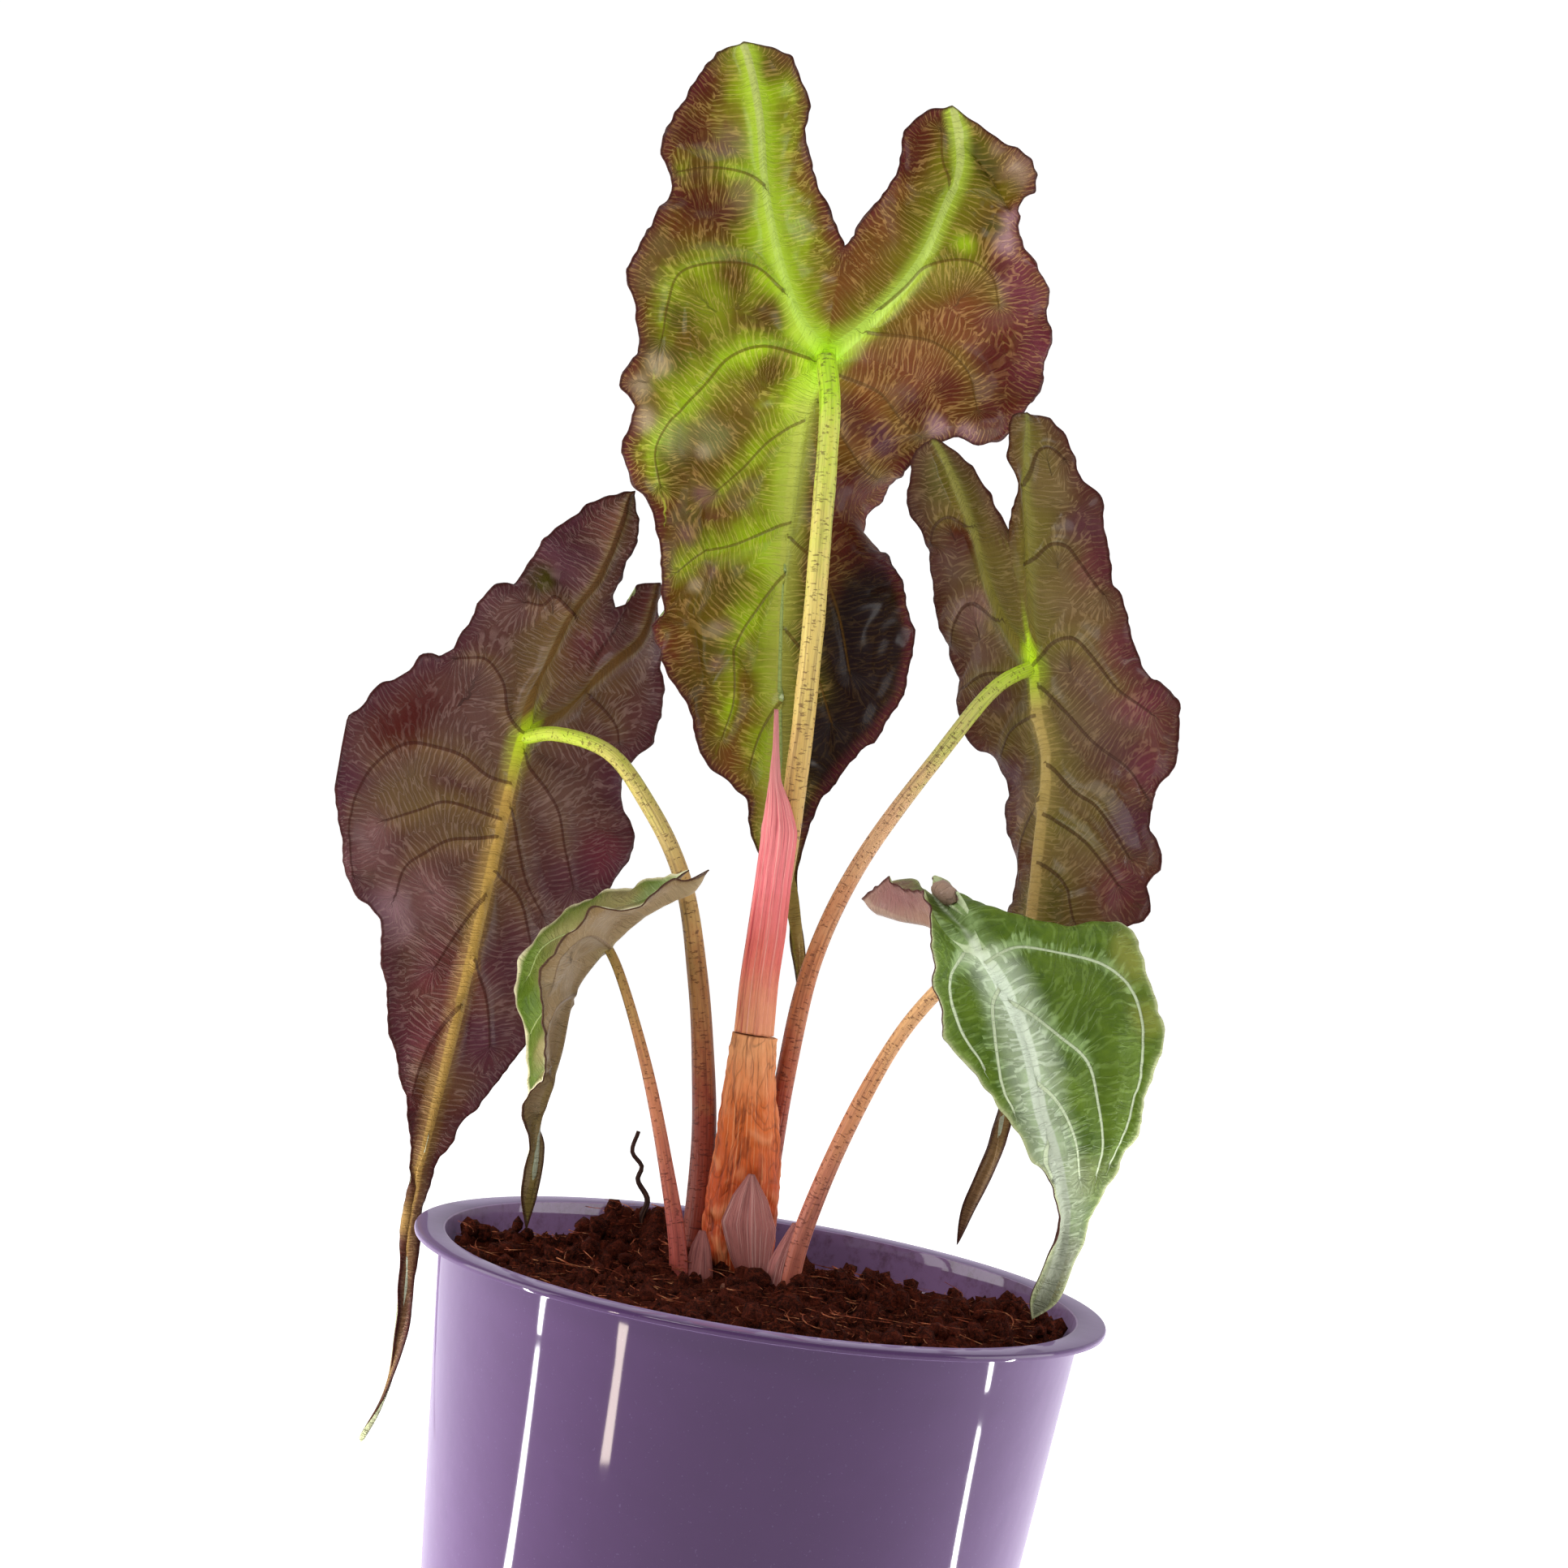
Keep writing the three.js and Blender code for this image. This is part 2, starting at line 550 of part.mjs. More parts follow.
// The soil's own shape, before the stalks' holes: one heaped top on a body that fills the pot.
function soilGeometry() {
  const ledge = POT_HEIGHT - LEDGE_DEPTH;
  const gapRadius = (height) => wallRadius(height) - WALL - GAP;
  const neck = gapRadius(ledge) - LEDGE_WIDTH;
  const ring = (radius, level) => {
    const points = [];
    for (let sector = 0; sector < SOIL_SECTORS; sector += 1) {
      const angle = (2 * Math.PI * sector) / SOIL_SECTORS;
      const x = radius * Math.cos(angle);
      const y = radius * Math.sin(angle);
      points.push(new THREE.Vector3(x, y, level ?? soilHeight(x, y)));
    }
    return points;
  };
  const rings = [ring(gapRadius(SOIL_FLOOR), SOIL_FLOOR), ring(gapRadius(ledge - 6), ledge - 6)];
  rings.push(ring(neck, ledge - 3));
  rings.push(ring(neck));
  [...SOIL_RINGS].reverse().forEach((radius) => rings.push(ring(radius)));
  return closeRings(rings);
}

function chipGeometry(extra = 0) {
  const [long, wide, thick] = BARK_CHIP.size.map((side) => side + 2 * extra);
  const outline = new THREE.Shape();
  outline.moveTo(-long / 2, -wide * 0.3);
  outline.lineTo(long * 0.2, -wide / 2);
  outline.lineTo(long / 2, -wide * 0.1);
  outline.lineTo(long * 0.35, wide / 2);
  outline.lineTo(-long * 0.4, wide * 0.35);
  const chip = new THREE.ExtrudeGeometry(outline, { depth: thick, bevelEnabled: false });
  chip.translate(0, 0, -thick / 2);
  chip.rotateX(BARK_CHIP.tilt).rotateZ(BARK_CHIP.turn).translate(...BARK_CHIP.at);
  return chip;
}

// Cutting the pieces clear of each other

// A cut can leave a crumb on the far side of the cutter: only the largest body is the piece.
function largestBody(solid) {
  return solid.decompose().reduce((best, body) => (body.volume() > best.volume() ? body : best));
}

function clearStalk(stalk, leaf) {
  return largestBody(toSolid(stalkGeometry(stalk)).subtract(toSolid(bladeGeometry(leaf, GAP))));
}

function cutBy(geometry, cutters) {
  return cutters.reduce((solid, cutter) => solid.subtract(toSolid(cutter)), toSolid(geometry));
}

const stalkCutters = [LARGE_STALK, LEFT_STALK, RIGHT_STALK].map((stalk) => stalkGeometry(stalk, GAP));

function soilSolid() {
  return cutBy(soilGeometry(), [
    ...stalkCutters,
    stalkGeometry(SMALL_LEFT_STALK, GAP),
    stalkGeometry(SMALL_RIGHT_STALK, GAP),
    stalkGeometry(DEAD_ROOT, GAP),
    sheathGeometry(PAPERY_SHEATH, 16, GAP),
    sheathGeometry(BASE_SHEATH, 12, GAP),
    sheathGeometry(SMALL_LEFT_WING, 10, GAP),
    sheathGeometry(SMALL_RIGHT_WING, 10, GAP),
    chipGeometry(GAP),
  ]);
}

// The whole object

const alocasia = new THREE.Group();
alocasia.add(
  piece("pot", potGeometry(), 0xb9a9d6, 0.25),
  piece("soil", toGeometry(soilSolid()), 0x3a2419, 0.95),
  piece("large_leaf_blade", bladeGeometry(LARGE_LEAF), 0x5a4a2a, 0.5),
  piece("left_leaf_blade", bladeGeometry(LEFT_LEAF), 0x5c4044, 0.5),
  piece("right_leaf_blade", bladeGeometry(RIGHT_LEAF), 0x5e5040, 0.5),
  piece("small_left_leaf_blade", bladeGeometry(SMALL_LEFT_LEAF), 0x6c7a3a, 0.5),
  piece("small_right_leaf_blade", bladeGeometry(SMALL_RIGHT_LEAF), 0x4d7a38, 0.45),
  piece("large_leaf_stalk", toGeometry(clearStalk(LARGE_STALK, LARGE_LEAF)), 0x8a8a3c, 0.5),
  piece("left_leaf_stalk", toGeometry(clearStalk(LEFT_STALK, LEFT_LEAF)), 0x8a6a44, 0.5),
  piece("right_leaf_stalk", toGeometry(clearStalk(RIGHT_STALK, RIGHT_LEAF)), 0x8a7440, 0.5),
  piece(
    "small_left_leaf_stalk",
    toGeometry(clearStalk(SMALL_LEFT_STALK, SMALL_LEFT_LEAF).add(toSolid(sheathGeometry(SMALL_LEFT_WING, 10)))),
    0x9a7050,
    0.5,
  ),
  piece(
    "small_right_leaf_stalk",
    toGeometry(clearStalk(SMALL_RIGHT_STALK, SMALL_RIGHT_LEAF).add(toSolid(sheathGeometry(SMALL_RIGHT_WING, 10)))),
    0x9a8050,
    0.5,
  ),
  piece("pink_sheath", toGeometry(cutBy(sheathGeometry(PINK_SHEATH, 14), stalkCutters)), 0xb86458, 0.5),
  piece("papery_sheath", toGeometry(cutBy(sheathGeometry(PAPERY_SHEATH, 16), stalkCutters)), 0xb06a2c, 0.8),
  piece("base_sheath", sheathGeometry(BASE_SHEATH, 12), 0x9c6a74, 0.6),
  piece("dead_root", stalkGeometry(DEAD_ROOT), 0x1e1712, 0.8),
  piece("bark_chip", chipGeometry(), 0x2c241f, 0.9),
);

export default alocasia;
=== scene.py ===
"""A potted jewel-leaf houseplant: five crinkled arrow-shaped leaves in a lilac nursery pot."""

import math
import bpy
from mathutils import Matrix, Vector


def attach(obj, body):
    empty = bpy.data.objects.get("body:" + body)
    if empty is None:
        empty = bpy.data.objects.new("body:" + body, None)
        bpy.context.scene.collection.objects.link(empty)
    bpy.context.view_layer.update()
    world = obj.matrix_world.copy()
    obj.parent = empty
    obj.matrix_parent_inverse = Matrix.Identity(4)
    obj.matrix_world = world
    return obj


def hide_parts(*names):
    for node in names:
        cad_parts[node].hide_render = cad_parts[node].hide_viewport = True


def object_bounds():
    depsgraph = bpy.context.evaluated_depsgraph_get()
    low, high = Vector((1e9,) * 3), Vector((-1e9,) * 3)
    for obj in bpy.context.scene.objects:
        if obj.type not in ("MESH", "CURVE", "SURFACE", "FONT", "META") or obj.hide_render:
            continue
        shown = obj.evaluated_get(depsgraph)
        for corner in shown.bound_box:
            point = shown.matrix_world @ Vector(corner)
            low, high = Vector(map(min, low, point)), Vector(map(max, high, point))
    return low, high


bl_info = {
    "name": "Potted Venom Alocasia",
    "version": (1, 0, 0),
    "blender": (4, 5, 0),
    "location": "3D View > Sidebar > Alocasia",
    "description": "Dresses the solids of a potted alocasia with fine leaves, stalks, soil and pot",
    "category": "Object",
}

import bmesh
import bpy
import numpy as np
from bpy.props import FloatProperty, FloatVectorProperty, IntProperty, PointerProperty
from mathutils import Matrix, Vector, noise

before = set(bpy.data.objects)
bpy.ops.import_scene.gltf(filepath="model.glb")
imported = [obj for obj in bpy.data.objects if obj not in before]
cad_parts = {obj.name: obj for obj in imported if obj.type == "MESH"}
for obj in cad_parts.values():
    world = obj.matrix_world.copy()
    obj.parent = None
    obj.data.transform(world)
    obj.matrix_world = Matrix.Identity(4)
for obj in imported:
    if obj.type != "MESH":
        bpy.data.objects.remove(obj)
CAD_BOX = [list(corner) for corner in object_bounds()]

MM = 0.001
BODY = "root"


def linear(code):
    """The linear colour of a screen colour written as six hex digits."""
    parts = [int(code[i : i + 2], 16) / 255 for i in (0, 2, 4)]
    return tuple(c / 12.92 if c < 0.04045 else ((c + 0.055) / 1.055) ** 2.4 for c in parts)


# The measured lines of each leaf, in millimetres. Midribs run from tip to joint, and ribs
# from the joint to a lobe's end. Veins are drawn as seen from the front, as (x, z).


def leaf(midrib, notch, *halves):
    """A leaf's lines: both halves share its tip, its joint and its notch.

    A half is the side to which its faces are wound, its sweep, and then its rib, margin, inner line
    and veins. The sweep is the margin's share below the joint, and how unevenly the rows take it.
    """
    return {"midrib": midrib, "halves": [
        {"shows": shows, "sweep": sweep, "rib": [midrib[-1], *rib],
         "margin": [midrib[0], *margin, rib[-1]], "inner": [notch, *inner, rib[-1]], "veins": veins}
        for shows, sweep, rib, margin, inner, veins in halves]}


LARGE_LEAF = leaf(
    [(1, 13, 154), (0, 12, 162), (-2, 12, 170), (-5, 12, 179), (-9, 15, 188), (-12, 22, 206),
     (-15, 25, 228), (-17, 24, 249), (-17, 19, 271), (-14, 15, 280)],
    (-14, 20, 302),
    (-1, (0.55, 1.35),
     [(-20, 17, 286), (-30, 25, 309), (-34, 29, 325), (-39, 31, 339.6)],
     [(-4, 11, 170), (-7, 12, 181), (-13, 14, 186), (-17, 15, 196), (-25, 14, 201), (-28, 12, 208),
      (-35, 11, 218), (-39, 14, 225), (-38, 11, 231), (-42, 9, 245), (-49, 13, 255), (-48, 9, 264),
      (-51, 6, 269), (-49, 10, 277), (-53, 12, 288), (-52, 14, 296), (-48, 21, 307), (-51, 19, 314),
      (-50, 23, 322), (-46, 27, 331), (-43, 30, 337)],
     [(-19, 22, 311), (-23, 25, 320), (-25, 28, 330), (-28, 30, 336), (-33, 31, 339.4)],
     [[(-24, 291), (-30, 295), (-39, 294), (-44, 291), (-45, 285), (-45, 278)], [(-17, 279), (-26, 280),
      (-32, 277), (-36, 271), (-41, 264), (-43, 258), (-41, 251)], [(-17, 269), (-23, 263), (-27, 257),
      (-31, 252)], [(-17, 249), (-26, 243), (-32, 240), (-36, 236)], [(-16, 240), (-20, 232), (-23, 224),
      (-22, 213), (-23, 206)], [(-31, 311), (-34, 313), (-42, 313), (-48, 311)], [(-13, 216), (-16, 208),
      (-17, 201)]]),
    (1, (0.62, 1.25),
     [(-8, 19, 287), (0, 25, 300), (4, 29, 312), (6, 30, 321), (3, 28, 333)],
     [(0, 12, 166), (-4, 13, 183), (-3, 17, 193), (1, 20, 203), (9, 17, 215), (11, 16, 224),
      (10, 18, 233), (7, 24, 241), (-1, 38, 251), (1, 40, 257), (6, 31, 266), (12, 30, 270),
      (22, 33, 271), (27, 36, 283), (28, 36, 292), (26, 34, 303), (20, 27, 309), (18, 21, 315),
      (21, 26, 319), (20, 30, 324), (14, 31, 328)],
     [(-10, 21, 309), (-6, 23, 319), (-6, 25, 326), (-2, 27, 331)],
     [[(-8, 286), (0, 287), (6, 287), (13, 283), (16, 276)], [(-12, 278), (-3, 276), (2, 272), (6, 270)],
      [(-14, 272), (-9, 267), (-4, 262), (-1, 261)], [(-6, 291), (-2, 296), (2, 301), (10, 304),
      (15, 302), (17, 297)], [(4, 318), (2, 322), (1, 328)], [(-16, 246), (-9, 241), (-4, 233), (0, 222)],
      [(-13, 228), (-7, 222), (-2, 212)]]),
)

LEFT_LEAF = leaf(
    [(-70, 12, 64), (-66, 13, 75), (-66, 18, 91), (-68, 19, 109), (-65, 17, 143), (-63, 18, 170),
     (-62, 20, 186), (-61, 22, 200)],
    (-47, 30, 228),
    (-1, (0.6, 1.0),
     [(-61, 23, 206), (-59, 25, 213), (-56, 27, 224), (-51, 28, 234), (-47, 28, 251)],
     [(-67, 12, 72), (-67, 14, 85), (-68, 17, 97), (-68, 19, 106), (-70, 16, 123), (-76, 12, 142),
      (-79, 10, 154), (-81, 8, 163), (-87, 7, 168), (-91, 6, 180), (-93, 7, 191), (-92, 9, 199),
      (-88, 11, 205), (-81, 15, 212), (-76, 18, 215), (-73, 19, 222), (-70, 20, 228), (-65, 23, 231),
      (-62, 23, 239), (-58, 24, 244), (-53, 26, 248)],
     [(-48, 30, 231), (-46, 30, 237), (-45, 29, 245)],
     [[(-61, 191), (-66, 192), (-71, 195), (-76, 196), (-81, 196), (-85, 193), (-88, 188), (-89, 179),
      (-87, 170)], [(-62, 184), (-66, 185), (-73, 186), (-77, 184), (-83, 181)], [(-62, 181), (-66, 180),
      (-71, 179), (-75, 176), (-78, 173), (-79, 167)], [(-60, 201), (-61, 201), (-64, 204), (-66, 210),
      (-70, 214), (-75, 213)], [(-55, 225), (-59, 228), (-61, 226), (-64, 226)], [(-63, 170), (-67, 162),
      (-70, 155)], [(-65, 148), (-69, 140), (-71, 130)]]),
    (1, (0.67, 1.0),
     [(-56, 25, 204), (-51, 29, 211), (-46, 31, 217), (-42, 33, 222), (-40, 34, 234)],
     [(-66, 12, 74), (-64, 14, 86), (-65, 18, 97), (-66, 20, 109), (-62, 21, 123), (-56, 22, 132),
      (-52, 24, 141), (-47, 27, 156), (-41, 29, 172), (-37, 31, 179), (-37, 32, 184), (-42, 34, 196),
      (-37, 36, 203), (-36, 37, 213), (-38, 37, 224)],
     [(-45, 31, 229), (-44, 32, 233)],
     [[(-60, 197), (-59, 195), (-55, 191), (-52, 187), (-50, 181), (-47, 173)], [(-61, 186), (-60, 184),
      (-58, 178), (-56, 173), (-52, 167)], [(-50, 210), (-47, 208), (-44, 205), (-43, 202)], [(-62, 174),
      (-57, 170), (-54, 163), (-52, 156)], [(-64, 158), (-60, 150), (-58, 141)]]),
)

RIGHT_LEAF = leaf(
    [(36, 13, 118), (38, 14, 127), (42, 17, 142), (42, 18, 170), (41, 19, 195), (40, 21, 212),
     (37, 22, 220), (35, 22, 229)],
    (25, 24, 254),
    (-1, (0.6, 1.0),
     [(32, 23, 231), (25, 25, 241), (21, 26, 250), (14, 25, 262), (9, 24, 269)],
     [(36, 14, 125), (40, 17, 138), (41, 20, 158), (39, 22, 170), (38, 24, 179), (39, 25, 185),
      (35, 28, 196), (33, 31, 207), (30, 33, 210), (26, 34, 212), (22, 35, 220), (21, 35, 225),
      (15, 34, 236), (13, 33, 243), (11, 31, 250), (7, 29, 254), (6, 27, 260), (6, 25, 266)],
     [(21, 25, 261), (17, 25, 265), (12, 24, 268)],
     [[(38, 220), (36, 219), (33, 216), (32, 211)], [(27, 237), (21, 239), (19, 235), (19, 231)],
      [(18, 254), (14, 255), (12, 253), (12, 250)], [(34, 228), (30, 227), (26, 226), (22, 222)],
      [(41, 204), (39, 200), (38, 193), (39, 187)]]),
    (1, (0.62, 1.2),
     [(34, 22, 234), (32, 21, 244), (30, 20, 254), (28, 20, 263), (26, 22, 277)],
     [(38, 14, 124), (42, 16, 136), (47, 15, 158), (52, 13, 171), (58, 11, 182), (62, 8, 186),
      (61, 9, 191), (63, 7, 195), (60, 11, 203), (60, 11, 208), (62, 7, 213), (62, 7, 222), (61, 7, 226),
      (54, 12, 231), (49, 15, 243), (46, 16, 247), (44, 16, 254), (42, 17, 261), (38, 18, 265),
      (33, 19, 273)],
     [(26, 23, 260), (24, 23, 270), (23, 22, 275)],
     [[(35, 229), (36, 231), (38, 234), (41, 235), (45, 232), (50, 227), (57, 223)], [(37, 225),
      (42, 221), (48, 216), (55, 212), (59, 207)], [(40, 211), (46, 206), (50, 204), (57, 196)],
      [(31, 248), (34, 252), (37, 252), (40, 249), (45, 244)], [(41, 201), (49, 197), (56, 190)],
      [(41, 192), (46, 189), (49, 182)], [(42, 180), (45, 174), (46, 166)], [(28, 263), (29, 269),
      (31, 270), (34, 268)]]),
)

SMALL_LEFT_LEAF = leaf(
    [(-44, -5, 111), (-45, -4, 124), (-46, -4, 132), (-44, -4, 144), (-43, -3, 157), (-38, -2, 166)],
    (-31, -1, 174),
    (-1, (0.54, 1.0),
     [(-34, -3, 171), (-29, -6, 175), (-24, -8, 179), (-21, -9, 182)],
     [(-46, -6, 118), (-46, -7, 126), (-48, -9, 135), (-45, -13, 142), (-47, -18, 154), (-48, -19, 160),
      (-46, -19, 165), (-40, -19, 172), (-33, -16, 175), (-28, -13, 179)],
     [(-27, -4, 178)],
     [[(-38, 166), (-41, 168), (-45, 164), (-46, 158)], [(-43, 156), (-45, 154), (-46, 149)], [(-45, 143),
      (-45, 138), (-46, 133)]]),
    (1, (0.54, 1.0),
     [(-35, 1, 171), (-31, 4, 176), (-25, 5, 181)],
     [(-43, -4, 118), (-43, -3, 126), (-48, 1, 134), (-50, 8, 143), (-54, 12, 153), (-54, 13, 158),
      (-51, 13, 165), (-47, 13, 170), (-40, 11, 174), (-33, 8, 178)],
     [(-29, 1, 177)],
     [[(-39, 165), (-45, 166), (-50, 162), (-52, 156)], [(-43, 154), (-47, 152), (-50, 146)], [(-45, 142),
      (-47, 138), (-47, 135)]]),
)

SMALL_RIGHT_LEAF = leaf(
    [(49, -22, 112), (52, -24, 123), (52, -26, 130), (48, -31, 142), (44, -32, 150), (40, -31, 161),
     (35, -27, 170), (30, -24, 176)],
    (20, -7, 184),
    (1, (0.6, 1.1),
     [(24, -24, 178), (21, -22, 180), (15, -15, 180), (8, -7, 181)],
     [(48, -24, 116), (49, -25, 121), (51, -27, 129), (48, -30, 137), (41, -31, 145), (32, -31, 154),
      (26, -32, 160), (22, -35, 170), (20, -36, 180), (19, -34, 184), (16, -26, 185), (12, -16, 186)],
     [(16, -2, 186), (11, -3, 184)],
     [[(34, 171), (33, 168), (34, 162), (36, 155), (39, 149)], [(27, 176), (25, 171), (27, 164),
      (33, 156)], [(46, 146), (46, 142), (48, 138)]]),
    (-1, (0.62, 1.1),
     [(26, -18, 182), (22, -10, 185), (21, 0, 187)],
     [(53, -22, 116), (56, -22, 128), (58, -24, 137), (62, -26, 148), (63, -25, 160), (64, -24, 166),
      (61, -21, 174), (55, -14, 184), (48, -12, 182), (38, -10, 180), (28, -4, 184)],
     [(20, -3, 187)],
     [[(31, 175), (36, 178), (44, 178), (52, 177), (57, 174), (60, 168), (61, 160), (60, 150), (58, 142)],
      [(36, 169), (38, 168), (45, 164), (51, 160), (54, 153), (56, 146), (56, 140)], [(42, 156),
      (47, 152), (51, 146), (53, 139)]]),
)

# A stalk is its radius at the foot and at the top, and its line from foot to joint. A sheath is
# its sections from foot to top, as (x, y, z, half width, half depth).

STALKS = {
    "large_leaf_stalk": (2.5, 2.0, [[-6, -0.5, 97], [-6.5, 0, 125], [-7.6, 1.2, 150], [-7.6, 3, 172],
                                    [-7.2, 5, 192], [-8, 6, 219], [-10, 8, 249], [-12, 11, 272],
                                    [-14, 15, 280]]),
    "left_leaf_stalk": (3.0, 1.4, [[-12.6, 0.5, 97], [-13.2, 3, 121], [-15, 6, 137], [-20, 10, 161],
                                   [-26, 14, 179], [-34, 15, 191], [-43, 15, 200], [-54, 18, 202],
                                   [-61, 22, 200]]),
    "right_leaf_stalk": (2.4, 1.4, [[-2, 5, 97], [-1.5, 5.5, 120], [-1, 6, 143], [1, 7, 168], [7, 10, 187],
                                    [18, 13, 208], [28, 18, 224], [35, 22, 229]]),
    "small_left_leaf_stalk": (2.0, 0.9, [[-14, -12, 97], [-15, -11.5, 110], [-21, -9, 130], [-28, -6, 148],
                                         [-35, -3, 162], [-38, -2, 166]]),
    "small_right_leaf_stalk": (2.1, 1.3, [[5, -14, 97], [5.5, -14, 115], [8, -14, 128], [13, -14, 145],
                                          [19, -15.5, 160], [26, -19, 171], [29, -22.6, 174.6]]),
}

WINGS = {
    "small_left_leaf_stalk": [[-12, -10.8, 101, 2, 1.7], [-11.4, -10.4, 109, 2.7, 1.8],
                              [-11.6, -10.1, 114, 1.8, 1.3], [-11.8, -10, 117, 0.6, 0.5]],
    "small_right_leaf_stalk": [[3.6, -13.4, 101, 2.2, 1.8], [3.2, -13.2, 108, 2.5, 1.9],
                               [3.4, -13.2, 114, 2.3, 1.7], [4.8, -13.8, 121.5, 0.7, 0.7]],
}

SHEATHS = {
    "pink_sheath": [[-8.1, 0.6, 153, 3.6, 3.3], [-8.6, 0.8, 163, 3.5, 3.3], [-8.6, 1, 172, 3.5, 3.2],
                    [-8.8, 1.3, 182, 3.3, 3], [-9.1, 1.8, 191, 3.3, 2.6], [-10.1, 2.1, 196, 2.2, 1.6],
                    [-11.2, 2.2, 200, 1.1, 0.9], [-12, 2, 206, 0.6, 0.6], [-13, 1.5, 213, 0.4, 0.4]],
    "papery_sheath": [[-4.2, -1, 103, 4.6, 4.6], [-4.4, -1, 108, 5, 5], [-5, -1, 115, 6.6, 5.5],
                      [-5.4, -0.8, 124, 6.6, 5.4], [-5.8, -0.6, 131, 6, 5], [-7, -0.2, 143, 4.7, 4.4],
                      [-7.8, 0.4, 152.7, 4, 3.7]],
    "base_sheath": [[-1.2, -9, 103, 1.9, 1.3], [-1.3, -9, 108.5, 2.3, 1.5], [-2.4, -8.9, 113, 3.7, 1.6],
                    [-3.6, -8.6, 119, 5, 1.4], [-4.1, -8.1, 124, 3.2, 1.1], [-4.5, -7.6, 128.2, 0.6, 0.5]],
}

DEAD_ROOT = (0.75, 0.4, [[-22, 10, 108], [-23.6, 10, 114], [-23, 10, 118], [-25.4, 10, 121.5], [-25, 10, 124],
                         [-27.2, 10, 126.5], [-26.6, 10, 130.5]])
CHIP_AT, CHIP_SIZE, CHIP_TURN, CHIP_TILT = (-4, -17, 108.4), (7, 3.4, 1.8), 0.25, 0.12

# The pot and its soil

POT_HEIGHT = 110.0
WALL_TOP, WALL_FOOT, WALL = 60.0, 49.4, 1.2
FLANGE_RADIUS, FLANGE_THICK = 64.5, 1.3
POT_FLOOR, LEDGE_DEPTH, LEDGE_WIDTH = 1.6, 8.5, 0.8
DRAIN_HOLES, DRAIN_RADIUS, DRAIN_CIRCLE = 6, 4.0, 32.0
SOIL_FLOOR, SOIL_LEVEL, SOIL_DROP = 5.0, 107.4, 7.5
SOIL_HUMPS = [(-24, 13, 10, 8), (20, 10, 3, 6), (42, 6, 2, 6), (0, 0, 2.2, 16)]
GAP = 0.3


# What a user may change


def colour_value(name, description, default):
    return FloatVectorProperty(
        name=name, description=description, subtype="COLOR", size=3, min=0, max=1, default=default)


def length_value(name, description, default, low, high):
    return FloatProperty(name=name, description=description, subtype="DISTANCE", unit="LENGTH",
                         default=default, min=low, max=high, precision=5)


class PotValues(bpy.types.PropertyGroup):
    wall: colour_value("Wall", "Colour of the glossy plastic wall", linear("3c1f49"))
    # The inside is the wall's plastic made paler: painted light falling into the pot, with darker dusty
    # patches laid on it.
    inside: colour_value("Inside", "Colour of the wall inside, dulled by dust", linear("74587c"))
    sides: IntProperty(
        name="Sides", description="Steps round the turned pot", default=144, min=24, max=360)


class SoilValues(bpy.types.PropertyGroup):
    peat: colour_value("Peat", "Colour of the fine dark peat", linear("38120a"))
    fibre: colour_value("Fibre", "Colour of the coconut fibres", linear("9a4a2e"))
    crumbs: IntProperty(name="Crumbs", description="Loose crumbs on the soil", default=1500, min=0, max=4000)
    fibres: IntProperty(name="Fibres", description="Loose fibres on the soil", default=1100, min=0, max=4000)


class BladeValues(bpy.types.PropertyGroup):
    thickness: length_value("Thickness", "Thickness of a blade between its veins", 0.0006, 0.0003, 0.002)
    rib_height: length_value(
        "Rib height", "How far the ribs stand out of a blade's underside", 0.0011, 0, 0.003)
    vein_height: length_value(
        "Vein height", "How far the side veins stand out of a blade's underside", 0.0007, 0, 0.003)
    swelling: length_value("Swelling", "How far a blade swells between two veins", 0.0013, 0, 0.004)


class StageValues(bpy.types.PropertyGroup):
    floor: colour_value("Floor", "Colour of the plain floor", (0.92, 0.92, 0.92))
    soft_light: FloatProperty(
        name="Soft light", description="Strength of the light from all round", default=0.27, min=0, max=5)


# Lines and surfaces, in numpy arrays of millimetres


def smooth_line(points, steps=24):
    """A dense centripetal curve through the points."""
    points = np.array(points, float)
    ends = np.vstack([2 * points[0] - points[1], points, 2 * points[-1] - points[-2]])
    out = []
    for i in range(1, len(ends) - 2):
        p0, p1, p2, p3 = ends[i - 1 : i + 3]
        gaps = [max(np.linalg.norm(b - a) ** 0.5, 1e-4) for a, b in ((p0, p1), (p1, p2), (p2, p3))]
        m1 = (p1 - p0) / gaps[0] - (p2 - p0) / (gaps[0] + gaps[1]) + (p2 - p1) / gaps[1]
        m2 = (p2 - p1) / gaps[1] - (p3 - p1) / (gaps[1] + gaps[2]) + (p3 - p2) / gaps[2]
        m1, m2 = m1 * gaps[1], m2 * gaps[1]
        t = np.linspace(0, 1, steps, endpoint=False)[:, None]
        out.append(p1 + m1 * t + (3 * (p2 - p1) - 2 * m1 - m2) * t**2 + (2 * (p1 - p2) + m1 + m2) * t**3)
    out.append(points[-1:])
    return np.vstack(out)


class Line:
    """A smooth line through measured points, read by its length from 0 to 1."""

    def __init__(self, points):
        self.dense = smooth_line(points)
        steps = np.linalg.norm(np.diff(self.dense, axis=0), axis=1)
        self.length = steps.sum()
        self.at = np.concatenate([[0], np.cumsum(steps)]) / self.length

    def __call__(self, share):
        share = np.clip(share, 0, 1)
        return np.stack([np.interp(share, self.at, column) for column in self.dense.T], axis=-1)


# How far a pattern runs on, in millimetres for each radian, where it fans out round a line's end.
FAN = 4.0


